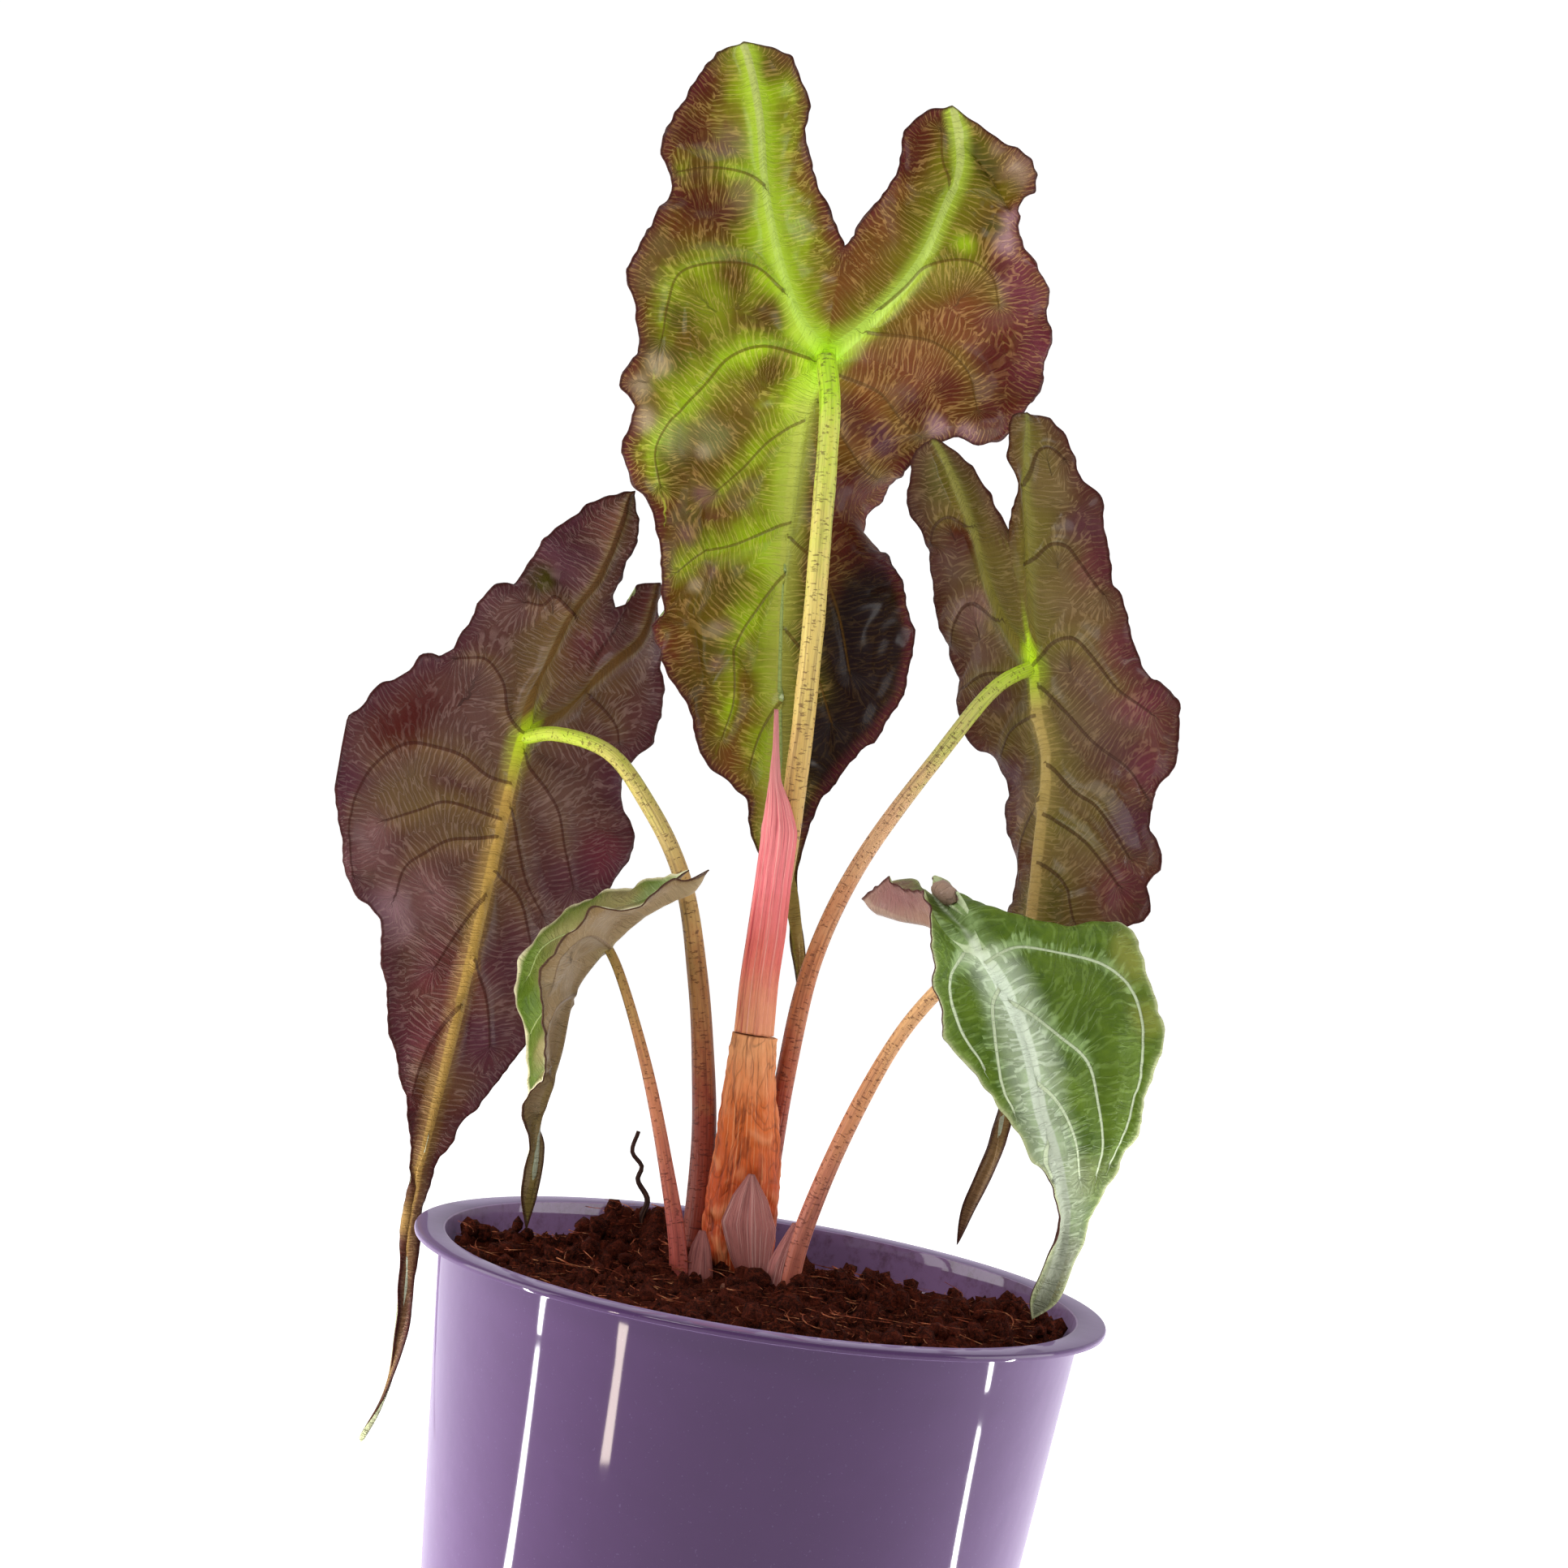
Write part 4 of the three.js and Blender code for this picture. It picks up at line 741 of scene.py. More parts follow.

# Casts are such places: a tone, its share, a radius and the spots as (x, z); some are painted sheen and
# highlights.
# Creases are a line, a height and a reach. The leaf's pair of shares says how much of the veins' tint and of
# the painted backlight each half shows, as one half is lit through more than the other.

LEAVES = {
    "large_leaf_blade": {
        "lines": LARGE_LEAF, "spacing": 0.78, "vein_tint_and_backlight": (1.0, 0.25),
        "under": {},
        "upper": {"cast_share": 0.15, "rib": "a4b868", "rib_tip": "7c8450", "joint": "a8cc40"},
        "creases": [
            ([(-41, 285), (-40, 279), (-38, 275)], -1.6, 1.0),
            ([(-45, 279), (-45, 274), (-43, 271)], 1.2, 1.0),
            ([(-40, 266), (-40, 261), (-38, 256), (-34, 254)], -1.6, 1.2),
            ([(-34, 252), (-31, 247), (-31, 240)], 1.3, 1.2),
            ([(-31, 237), (-32, 228), (-28, 217)], -1.3, 1.2),
            ([(6, 326), (10, 323), (13, 320), (17, 313)], 1.8, 1.4),
            ([(1, 319), (6, 319), (12, 316)], -1.2, 1.2),
            ([(-5, 266), (2, 270), (11, 273), (20, 275)], -1.4, 1.6),
            ([(-26, 216), (-23, 223), (-19, 219)], 1.0, 1.0),
            ([(-37, 316), (-42, 314), (-47, 315)], -1.0, 1.4),
            ([(-2, 313), (4, 317), (9, 318)], 0.9, 1.4),
        ],
        "casts": [("ink", 1, 14, (2, 230)), ("ink", 0.9, 9, (-2, 208)),
            ("olive", 0.3, 12.0, (-38, 294), (-37, 271)),
            ("olive", 0.4, 9.0, (-23, 251), (-32, 237), (-23, 223)),
            ("rust", 0.5, 12.0, (6, 284), (-4, 276)), ("russet", 0.35, 9.0, (-21, 311), (-10, 299)),
            ("maroon", 0.85, 3.9, (-33, 336), (-45, 329), (-46, 320)),
            ("maroon", 0.85, 4.5, (-43, 312), (-38, 305), (-34, 293), (-26, 287)),
            ("maroon", 0.8, 3.6, (-23, 277), (-44, 306)),
            ("russet", 0.6, 4.2, (-41, 334), (-40, 324)),
            ("mauve", 0.55, 3.9, (-34, 309), (-38, 319)),
            ("khaki", 0.55, 3.6, (-49, 296), (-50, 289)),
            ("lime_highlight", 0.35, 5.1, (-37, 286), (-40, 271)), ("olive", 0.4, 3.9, (-34, 282)),
            ("moss", 0.7, 3.3, (-43, 283), (-47, 276), (-42, 274)),
            ("pearl_highlight", 0.6, 2.4, (-45, 274), (-48, 269), (-46, 263)),
            ("russet", 0.5, 3.0, (-51, 270)), ("olive", 0.45, 5.1, (-30, 270), (-22, 264)),
            ("sage", 0.6, 3.9, (-40, 260), (-33, 262)),
            ("russet", 0.35, 3.6, (-26, 316), (-29, 326)), ("sage", 0.35, 3.0, (-23, 305)),
            ("olive", 0.5, 3.6, (-18, 297)),
            ("russet", 0.6, 3.6, (-14, 295), (-15, 289), (-10, 299), (-7, 307), (-5, 315)),
            ("maroon", 0.9, 3.6, (-3, 326), (-4, 321), (1, 331)), ("plum", 0.75, 2.4, (4, 327)),
            ("moss", 0.8, 2.7, (8, 326), (11, 323)), ("tan", 0.6, 1.8, (13, 327)),
            ("tan", 0.85, 3.6, (18, 323)), ("olive", 0.5, 2.4, (13, 318), (16, 319)),
            ("moss", 0.8, 2.4, (14, 311)), ("lime_highlight", 0.7, 2.4, (9, 307)),
            ("rose_sheen", 0.55, 2.4, (18, 313), (17, 308)),
            ("wine", 0.95, 4.5, (19, 303), (23, 299), (26, 292), (25, 284)),
            ("maroon", 0.8, 3.0, (16, 304)), ("olive", 0.35, 3.6, (5, 298), (9, 300)),
            ("russet", 0.6, 3.3, (3, 292), (12, 296)), ("rust", 0.7, 6.0, (3, 284), (10, 292)),
            ("rust", 0.7, 4.2, (-7, 281), (-5, 275), (-7, 266)), ("wine", 0.5, 3.3, (17, 294)),
            ("maroon", 0.95, 5.1, (19, 286), (19, 276)),
            ("maroon", 0.8, 3.9, (11, 280), (4, 274), (-7, 271)),
            ("rose_sheen", 0.55, 2.1, (9, 272), (15, 271)), ("plum", 0.8, 2.4, (0, 267), (-2, 269)),
            ("moss", 0.5, 3.9, (-39, 253), (-35, 246)), ("mauve", 0.6, 2.1, (-33, 251), (-35, 243)),
            ("pearl_highlight", 0.45, 1.5, (-34, 259), (-32, 234), (-27, 226)),
            ("maroon", 0.9, 6.0, (-5, 258), (-5, 248)),
            ("ink", 1, 7.2, (0, 236), (5, 227), (4, 215), (0, 202)), ("ink", 1, 9.0, (1, 224)),
            ("ink", 0.95, 5.1, (3, 243), (-3, 211), (-3, 193)),
            ("maroon", 0.8, 5.1, (-10, 254), (-9, 241)), ("wine", 0.6, 4.5, (4, 247)),
            ("moss", 0.8, 5.1, (-31, 212), (-26, 201)),
            ("russet", 0.7, 4.5, (-20, 203), (-14, 195)),
            ("maroon", 0.85, 4.5, (-10, 189), (-19, 193)),
            ("moss", 0.6, 4.5, (-25, 235), (-26, 222)),
            ("mauve", 0.5, 1.8, (-30, 237), (-25, 227), (-25, 220)),
            ("russet", 0.55, 3.3, (-17, 211), (-20, 217)),
            ("olive", 0.4, 4.2, (-20, 235), (-17, 224))],
    },
    "left_leaf_blade": {
        "lines": LEFT_LEAF, "spacing": 0.78, "vein_tint_and_backlight": (0.8, 0.5),
        "under": {"field": "502c2a", "field_2": "5c3c34", "vein_tint_and_backlight": "80682f", "net_strength": 0.45,
                  "edge": "44182a", "edge_width": 5.0, "net": "86706a", "vein_tint_and_backlight_reach": 6.0,
                  "rib": "b8944a", "rib_tip": "7a5c38", "lobe": "6e5024", "rib_end": "4a2a1a",
                  "joint": "b4cc20", "halo": "786438", "vein": "3c120c", "vein_width": 0.2,
                  "vein_tint_and_backlight_strength": 0.55, "rib_width": 1.3, "lobe_width": 0.6, "halo_strength": 0.35,
                  "patch": 12.0},
        "upper": {"cast_share": 0.15},
        "creases": [
            ([(-66, 230), (-62, 233), (-58, 231)], 1.3, 1.5),
            ([(-45, 186), (-40, 185)], 1.0, 1.2),
        ],
        "casts": [("plum", 0.8, 7.6, (-57, 235)), ("moss", 0.95, 3.0, (-62, 231)),
            ("wine", 0.5, 4.6, (-51, 244)), ("plum", 0.6, 6.1, (-44, 222)),
            ("maroon", 0.8, 3.6, (-41, 229)), ("wine", 0.6, 4.6, (-52, 219)),
            ("taupe", 0.5, 5.2, (-68, 207)), ("maroon", 0.8, 6.1, (-79, 203)),
            ("maroon", 0.8, 5.2, (-84, 198)), ("taupe", 0.5, 4.6, (-73, 200)),
            ("khaki", 0.7, 6.7, (-79, 186)), ("mauve", 0.8, 5.2, (-85, 176)),
            ("plum", 0.7, 4.0, (-90, 188)), ("khaki", 0.5, 4.6, (-70, 181)),
            ("mauve", 0.7, 6.7, (-74, 167)), ("rose_sheen", 0.6, 4.6, (-80, 163)),
            ("taupe", 0.5, 4.6, (-66, 196)), ("taupe", 0.6, 5.2, (-52, 190)),
            ("wine", 0.9, 5.2, (-42, 180)), ("plum", 0.6, 4.6, (-42, 195)),
            ("plum", 0.7, 5.2, (-48, 175)), ("wine", 0.7, 7.6, (-66, 154)),
            ("wine", 0.8, 7.6, (-67, 142)), ("plum", 0.6, 6.7, (-57, 158)),
            ("plum", 0.8, 6.1, (-59, 141)), ("maroon", 0.8, 6.1, (-68, 126)),
            ("maroon", 0.8, 4.6, (-69, 115)), ("khaki", 0.5, 4.0, (-62, 217))],
    },
    "right_leaf_blade": {
        "lines": RIGHT_LEAF, "spacing": 0.78, "vein_tint_and_backlight": (0.8, 1.0),
        "under": {"field": "4a2a14", "field_2": "58421e", "vein_tint_and_backlight": "78722c", "net_strength": 0.45,
                  "edge": "44141e", "edge_width": 5.0, "net": "846c50", "vein_tint_and_backlight_reach": 6.5,
                  "rib": "b49c58", "rib_tip": "6a4a34", "lobe": "6c6020", "rib_end": "7c7838",
                  "joint": "b4d81c", "halo": "706e30", "vein": "38180c", "vein_width": 0.2,
                  "vein_tint_and_backlight_strength": 0.6, "rib_width": 1.2, "lobe_width": 0.5, "halo_strength": 0.35,
                  "patch": 12.0},
        "upper": {"cast_share": 0.15},
        "creases": [
            ([(17, 252), (20, 246), (22, 240)], 1.0, 1.6),
            ([(52, 190), (46, 187)], 0.9, 1.2),
        ],
        "casts": [("moss", 0.7, 5.2, (11, 262)), ("maroon", 0.9, 4.0, (17, 251)),
            ("taupe", 0.6, 4.6, (15, 245)), ("mauve", 0.7, 4.3, (22, 238)),
            ("taupe", 0.6, 4.3, (25, 231)), ("plum", 0.6, 3.6, (28, 222)),
            ("khaki", 0.7, 6.1, (30, 264)), ("plum", 0.7, 5.2, (39, 256)),
            ("wine", 0.7, 4.3, (43, 249)), ("khaki", 0.6, 5.2, (36, 243)),
            ("khaki", 0.5, 6.1, (43, 238)), ("wine", 0.8, 5.2, (51, 234)),
            ("wine", 0.9, 5.2, (55, 224)), ("wine", 0.9, 5.5, (58, 212)),
            ("taupe", 0.5, 5.2, (43, 227)), ("taupe", 0.6, 6.1, (46, 218)),
            ("plum", 0.6, 4.6, (52, 214)), ("khaki", 0.6, 5.2, (46, 206)),
            ("plum", 0.9, 5.2, (57, 201)), ("khaki", 0.6, 5.2, (48, 193)),
            ("wine", 0.8, 5.2, (56, 190)), ("maroon", 0.7, 4.0, (39, 192)),
            ("moss", 0.7, 5.2, (43, 183)), ("plum", 0.6, 3.0, (34, 208)),
            ("taupe", 0.6, 4.0, (36, 201))],
    },
    "small_left_leaf_blade": {
        "lines": SMALL_LEFT_LEAF, "spacing": 0.6, "vein_tint_and_backlight": (1.0, 1.0),
        "under": {"field": "8a7250", "field_2": "957c58", "vein_tint_and_backlight": "a08c6c", "edge": "7c6640",
                  "net": "5a4c3c", "rib": "a89068", "rib_tip": "7a6a34", "lobe": "a08c68",
                  "rib_end": "a08c68", "joint": "b0a070", "halo": "a08c68", "vein": "6a5038",
                  "vein_strength": 0.5, "halo_strength": 0.2},
        "upper": {"field": "364c0c", "field_2": "4e6414", "edge": "c4bc90", "edge_strength": 0.75,
                  "rim": "d8d0b0", "vein": "98a468"},
        "creases": [],
        "casts": [("leaf", 0.6, 4.6, (-52, 157), (-51, 143)), ("sand", 0.7, 7.6, (-42, 162)),
            ("sand", 0.7, 6.1, (-40, 154)), ("sand", 0.7, 4.6, (-43, 144)),
            ("umber", 0.9, 3.6, (-46, 129), (-44, 114)), ("sand", 0.6, 4.6, (-36, 173))],
    },
    "small_right_leaf_blade": {
        "lines": SMALL_RIGHT_LEAF, "spacing": 0.6, "vein_tint_and_backlight": (1.0, 1.0),
        "under": {"field": "7a5450", "field_2": "8a6258", "vein_tint_and_backlight": "90705c", "edge": "7a5a50",
                  "net": "5a4440", "rib": "a08c78", "rib_tip": "7a6a44", "lobe": "9a8070",
                  "rib_end": "9a8070", "joint": "b0a080", "halo": "9a8070", "vein": "5a3a34",
                  "vein_strength": 0.5, "halo_strength": 0.2},
        "upper": {"field": "38500c", "field_2": "566e16", "vein_tint_and_backlight": "98b474", "vein_tint_and_backlight_reach": 2.6,
                  "vein_tint_and_backlight_strength": 0.7, "rib_tip": "5e6048", "rib_width": 2.6, "lobe_width": 1.3,
                  "halo": "8ca468", "halo_strength": 0.4, "vein": "d0dcb8", "vein_width": 0.36,
                  "net": "7c9450", "net_strength": 0.3},
        "creases": [],
        "casts": [("leaf", 0.5, 6.7, (49, 170)), ("straw", 0.8, 4.6, (58, 179)),
            ("straw", 0.6, 3.6, (61, 169)), ("leaf", 0.4, 4.6, (26, 168)),
            ("leaf", 0.5, 6.1, (56, 157)), ("mauve", 0.8, 6.1, (13, 183)),
            ("ash", 0.8, 6.1, (53, 122)), ("umber", 0.8, 4.0, (52, 117)),
            ("sage", 0.5, 4.6, (54, 139))],
    },
}


def look_of(general, own):
    """A side's look with the leaf's own values over the general ones, its tones made linear."""
    look = {**general, **own}
    return {key: linear(value) if isinstance(value, str) else value for key, value in look.items()}


# Numbers of a blade. Lengths are in millimetres, and waves are a height, a size and a seed.
BOW = 0.16  # how far the rows run ahead in the middle of a half
CROWDING = 1.15  # over 1, the columns crowd towards the spine
LEAST_WIDTH = 12.0
WELD = 1e-3
NORMAL_ROUNDS, CALM_ROUNDS = 10, 14
CALM_REACH = 2.2
OTHER_HALF = 50.0  # keeps the veins of one half away from the other
RIB_WEIGHT, EDGE_WEIGHT = 0.85, 1.5  # a line of less weight wins more of the net
NET_STEP = 7.3
VEIN_NEAR = 1.6
RIB_REACH, VEIN_REACH, SWELL_REACH, EDGE_REACH = 1.5, 0.8, 4.0, 5.0
SWELL_WAVES = ((0.7, 13, 5), (0.32, 6, 9))
EDGE_WAVES = ((0.5, 11, 21),)
FRILL, FRILL_REACH, FRILL_WAVES = 0.55, 2.5, ((1.0, 8, 51), (0.5, 3.2, 53))
BOX_MARGIN = 0.4  # how far a blade stays inside the solids' box
CAST_UNEVEN, CAST_WAVE = 0.18, 7
EDGE_THICKNESS = 0.45  # the share of its thickness that a blade keeps at its edge


class Blade:
    """One leaf blade, from its measured lines to a crinkled sheet with the values its material reads."""

    def __init__(self, name, facts, values):
        self.name, self.facts, self.values = name, facts, values
        self.lines = facts["lines"]
        self.midrib = Line(self.lines["midrib"])
        self.halves = [{key: Line(half[key]) for key in ("rib", "margin", "inner")}
                       for half in self.lines["halves"]]

    def spine(self, side, row):
        """The midrib for rows up to 1, at the joint, and the lobe's rib for rows beyond it."""
        lower, upper = self.midrib(row), self.halves[side]["rib"](row - 1)
        return np.where((row <= 1)[:, None], lower, upper)

    def outer(self, side):
        """A half between its spine and its margin; small waves of the margin fade out inwards."""
        at_joint, power = self.lines["halves"][side]["sweep"]
        margin = self.halves[side]["margin"]

        def place(row, across):
            bent = row + BOW * across * (1 - across) * np.sin(math.pi * row / 2)
            share = np.where(bent < 1, at_joint * np.minimum(bent, 1) ** power,
                             at_joint + (1 - at_joint) * (bent - 1))
            reach = np.minimum(0.06, np.minimum(share, 1 - share))
            soft = sum(margin(share + step * reach) for step in (-1, -0.5, 0, 0.5, 1)) / 5
            across = across[:, None]
            inward = self.spine(side, bent)
            return inward + (soft - inward) * across + (margin(share) - soft) * across**3

        return place

    def web(self, side):
        """The part of a lobe between its rib and the notch."""

        def place(row, across):
            rib, inner = self.halves[side]["rib"](row - 1), self.halves[side]["inner"](row - 1)
            return rib + (inner - rib) * across[:, None]

        return place

    def web_columns(self, step):
        """Both lobes' webs share the seam from joint to notch, and so their columns."""
        widths = [to_line(half["inner"](np.linspace(0, 1, 12)), half["rib"].dense)[0].max()
                  for half in self.halves]
        return np.linspace(0, 1, max(int(max(widths) / step), 5) + 1)

    def sheet(self):
        """The welded sheet of both halves and both webs, each vertex with the half that it is on."""
        step = self.facts["spacing"]
        bm = bmesh.new()
        half_layer = bm.verts.layers.float.new("half")
        longest = max(half["margin"].length for half in self.halves)
        joint = sum(half["sweep"][0] for half in self.lines["halves"]) / 2
        below, above = int(longest * joint / step), int(longest * (1 - joint) / step)
        rows = np.concatenate([np.linspace(0, 1, below + 1), np.linspace(1, 2, above + 1)[1:]])
        web_columns = self.web_columns(step)
        for side, half in enumerate(self.lines["halves"]):
            middle = self.halves[side]["margin"](np.linspace(0.15, 0.85, 12))
            width = max(to_line(middle, self.midrib.dense)[0].max(), LEAST_WIDTH)
            columns = np.linspace(0, 1, int(width / step) + 1) ** CROWDING
            for vert in patch(bm, rows, columns, self.outer(side), turned=half["shows"] > 0):
                vert[half_layer] = side
            for vert in patch(bm, rows[rows >= 1], web_columns, self.web(side), turned=half["shows"] < 0):
                vert[half_layer] = side
        bmesh.ops.remove_doubles(bm, verts=bm.verts, dist=WELD)
        return bm

    def lift(self, line, points):
        """A vein drawn from the front, laid on the sheet."""
        drawn = smooth_line([(x, 0, z) for x, z in line], 6)
        flat = points[:, [0, 2]]
        for spot in drawn:
            near = np.argsort(((flat - spot[[0, 2]]) ** 2).sum(1))[:4]
            spot[1] = points[near, 1].mean()
        drawn[1:-1, 1] = (drawn[:-2, 1] + drawn[1:-1, 1] + drawn[2:, 1]) / 3
        return drawn

    def read_veins(self, points, normals, half):
        """Each vein's distance, run and side at every point, and its length."""
        veins = []
        for side, facts in enumerate(self.lines["halves"]):
            own = half == side
            for line in facts["veins"]:
                drawn = self.lift(line, points[own])
                gap, run, turn = to_line(points, drawn, normals)
                length = np.linalg.norm(np.diff(drawn, axis=0), axis=1).sum()
                veins.append((gap + np.where(own, 0, OTHER_HALF), run, turn, length))
        return [np.array(column) for column in zip(*veins)]

    def relief(self, points, down, edge_gap, rib_gap, vein_gap, share):
        """Heights along the upper side's normal: ribs and veins stand out below, fields swell above."""
        values = self.values
        fade = smoothstep(0, 0.12, down / 2) * smoothstep(0, 3, edge_gap + 0.6)
        rise = -values.rib_height / MM * np.exp(-((rib_gap / RIB_REACH) ** 2)) * fade
        rise -= values.vein_height / MM * np.exp(-((vein_gap / VEIN_REACH) ** 2)) * (1.05 - 0.6 * share)
        between = 1 - np.exp(-((np.minimum(vein_gap, rib_gap) / SWELL_REACH) ** 2))
        inside = 1 - np.exp(-edge_gap / EDGE_REACH)
        rise += values.swelling / MM * (between * inside - 0.35)
        rise += waves(points, SWELL_WAVES) * between
        rise += waves(points, EDGE_WAVES) * np.exp(-edge_gap / 3) * smoothstep(0.1, 0.4, down)
        for line, height, reach in self.facts["creases"]:
            crease = to_line(points, self.lift(line, points))[0]
            rise += height * np.exp(-crease / reach)
        return rise

    def cast_colours(self, points):
        """The casts' colour and share at each point, laid over one another in order."""
        cast = np.zeros((len(points), 4))
        for tone, amount, radius, *spots in self.facts["casts"]:
            for x, z in spots:
                reach = np.hypot(points[:, 0] - x, points[:, 2] - z) / radius
                reach += CAST_UNEVEN * ripple(points, CAST_WAVE, int(abs(x * 31 + z)))
                weight = amount * np.exp(-(np.maximum(reach, 0) ** 3))
                total = cast[:, 3] + weight * (1 - cast[:, 3])
                blend = (weight / np.maximum(total, 1e-6))[:, None]
                cast[:, :3] = cast[:, :3] * (1 - blend) + np.array(linear(CAST_TONES[tone])) * blend
                cast[:, 3] = total
        return cast

    def build(self):
        bm = self.sheet()
        layers = bm.verts.layers.float
        half = np.array([vert[layers["half"]] for vert in bm.verts])
        down = np.array([vert[layers["down"]] for vert in bm.verts])
        mesh = bpy.data.meshes.new("measure")
        bm.to_mesh(mesh)
        points = values_of(mesh.vertices, "co", 3).astype(float)
        normals = values_of(mesh.vertex_normals, "vector", 3).astype(float)
        ends = values_of(mesh.edges, "vertices", 2, np.int32)
        corners = values_of(mesh.loops, "vertex_index", 1, np.int32)[:, 0]
        sizes = values_of(mesh.polygons, "loop_total", 1, np.int32)[:, 0]
        starts = np.concatenate([[0], np.cumsum(sizes)[:-1]])
        bpy.data.meshes.remove(mesh)
        normals = averaged(normals, ends, NORMAL_ROUNDS)
        normals /= np.linalg.norm(normals, axis=1)[:, None]

        # The sheet is calmed about its ribs, and the veins are laid on what comes out.
        rib_lines = [self.midrib] + [half["rib"] for half in self.halves]
        rib_reads = [to_line(points, line.dense) for line in rib_lines]
        edge_reads = [to_line(points, half[key].dense) for half in self.halves for key in ("margin", "inner")]
        rib_gap, edge_gap = (np.min([read[0] for read in reads], axis=0) for reads in (rib_reads, edge_reads))
        calm = (np.exp(-((rib_gap / CALM_REACH) ** 2)) * smoothstep(0.5, 4, edge_gap))[:, None]
        points = points + (averaged(points, ends, CALM_ROUNDS) - points) * calm
        vein_gaps, vein_runs, vein_sides, vein_lengths = self.read_veins(points, normals, half)

        def nearest(gaps):
            """The line nearest to each face, given at its corners: a pattern never jumps inside a face."""
            means = np.array([np.add.reduceat(row[corners], starts) / sizes for row in gaps])
            return np.repeat(means.argmin(axis=0), sizes)

        gaps = np.vstack([vein_gaps, [read[0] * RIB_WEIGHT for read in rib_reads],
                          [read[0] * EDGE_WEIGHT for read in edge_reads]])
        runs = np.vstack([vein_runs, [read[1] for read in rib_reads + edge_reads]])
        line = nearest(gaps)
        flow = np.stack([runs[line, corners], gaps[line, corners], line * NET_STEP], axis=1)
        line = nearest(vein_gaps)
        gap, share = vein_gaps[line, corners], vein_runs[line, corners] / vein_lengths[line]
        vein = np.stack([gap * vein_sides[line, corners], np.exp(-((gap / VEIN_NEAR) ** 2)), share], axis=1)

        line, vein_gap = vein_gaps.argmin(axis=0), vein_gaps.min(axis=0)
        share = vein_runs[line, np.arange(len(points))] / vein_lengths[line]
        rise = self.relief(points, down, edge_gap, rib_gap, vein_gap, share)
        frill = np.zeros_like(points)
        for height, size, seed in FRILL_WAVES:
            frill[:, 0] += height * ripple(points, size, seed)
            frill[:, 2] += height * ripple(points, size, seed + 1)
        frill *= (FRILL * np.exp(-edge_gap / FRILL_REACH) * smoothstep(0.15, 0.5, down))[:, None]
        low, high = (np.array(corner) / MM for corner in CAD_BOX)
        moved = np.clip(points + normals * rise[:, None] + frill, low + BOX_MARGIN, high - BOX_MARGIN)
        for vert, point in zip(bm.verts, moved):
            vert.co = point

        rib_share = np.where(down <= 1, down * 0.5, 0.5 + (down - 1) * 0.5)
        skins = [leaf_skin(f"{self.name} {side}", look_of(general, self.facts[side]))
                 for side, general in (("upper", UPPER), ("under", UNDER))]
        piece = piece_from(bm, f"{self.name}_fine", [self.name], skins)
        mesh = piece.data
        drop(mesh, "half", "down", "across")
        attribute(mesh, "flow", "FLOAT_VECTOR", "CORNER", flow)
        attribute(mesh, "vein", "FLOAT_VECTOR", "CORNER", vein)
        attribute(mesh, "ribs", "FLOAT_VECTOR", "POINT", np.stack([rib_gap, rib_share, edge_gap], axis=1))
        attribute(mesh, "cast", "FLOAT_COLOR", "POINT", self.cast_colours(points))
        # Each half's share of the veins' tint and of the painted backlight shining through the blade.
        attribute(mesh, "vein_tint_and_backlight", "FLOAT", "POINT", np.array(self.facts["vein_tint_and_backlight"])[half.astype(int)])

        thin = piece.vertex_groups.new(name="thickness")
        weights = EDGE_THICKNESS + (1 - EDGE_THICKNESS) * smoothstep(0, 4, edge_gap)
        for index, weight in enumerate(weights):
            thin.add([index], float(weight), "REPLACE")
        wall = piece.modifiers.new("Thickness", "SOLIDIFY")
        wall.thickness, wall.offset, wall.vertex_group = self.values.thickness, 0.0, thin.name
        wall.material_offset = wall.material_offset_rim = 1
        return piece


# Stalks and sheaths


# A stalk's taper (over 1, it thins out soon above the foot), and its knots and ridges as shares of
# its radius. A skin's run of colour is measured over the longest sheath.
TAPER, KNOTS, RIDGES, RIDGE_COUNT = 1.6, 0.035, 0.025, 5
STALK_STEP, STALK_SIDES = 1.1, 28
SHEATH_RUN = 50.0


def stalk_skin(name, stops, length):
    """A stalk's flecked skin: a run of colour from foot to joint with drawn-out lines."""

    def build(r):
        skin = r.attribute("skin").outputs["Vector"]
        height = r.math("DIVIDE", r.parts(skin)[2], length)
        lines = r.noise(r.vector(skin, (1.6, 1.6, 0.05)), scale=1.0, detail=3.0, rough=0.6)
        dashes = r.vector(skin, (0.55, 0.55, 2.4))
        flecks = r.span(r.noise(dashes, scale=1.0, detail=2.0, rough=0.6), 0.58, 0.66)
        uneven = r.use(mottle(), skin, 7.0)
        wander = r.plus(height, r.times(r.minus(uneven, 0.5), 0.08))
        base = r.ramp(wander, [(share, linear(tone)) for share, tone in stops])
        colour = r.mix(r.span(lines, 0.42, 0.7, 0.0, 0.25), base, linear("ead9a0"), "SOFT_LIGHT")
        colour = r.mix(r.span(lines, 0.52, 0.3, 0.0, 0.45), colour, linear("5a3418"), "MULTIPLY")
        colour = r.mix(r.times(flecks, 0.6), colour, linear("4a1c18"))
        rough = r.plus(r.times(lines, 0.2), 0.3)
        return colour, rough, r.plus(lines, r.times(flecks, 0.4)), STALK_BUMP

    return surface(name, build, Specular_IOR_Level=0.2)


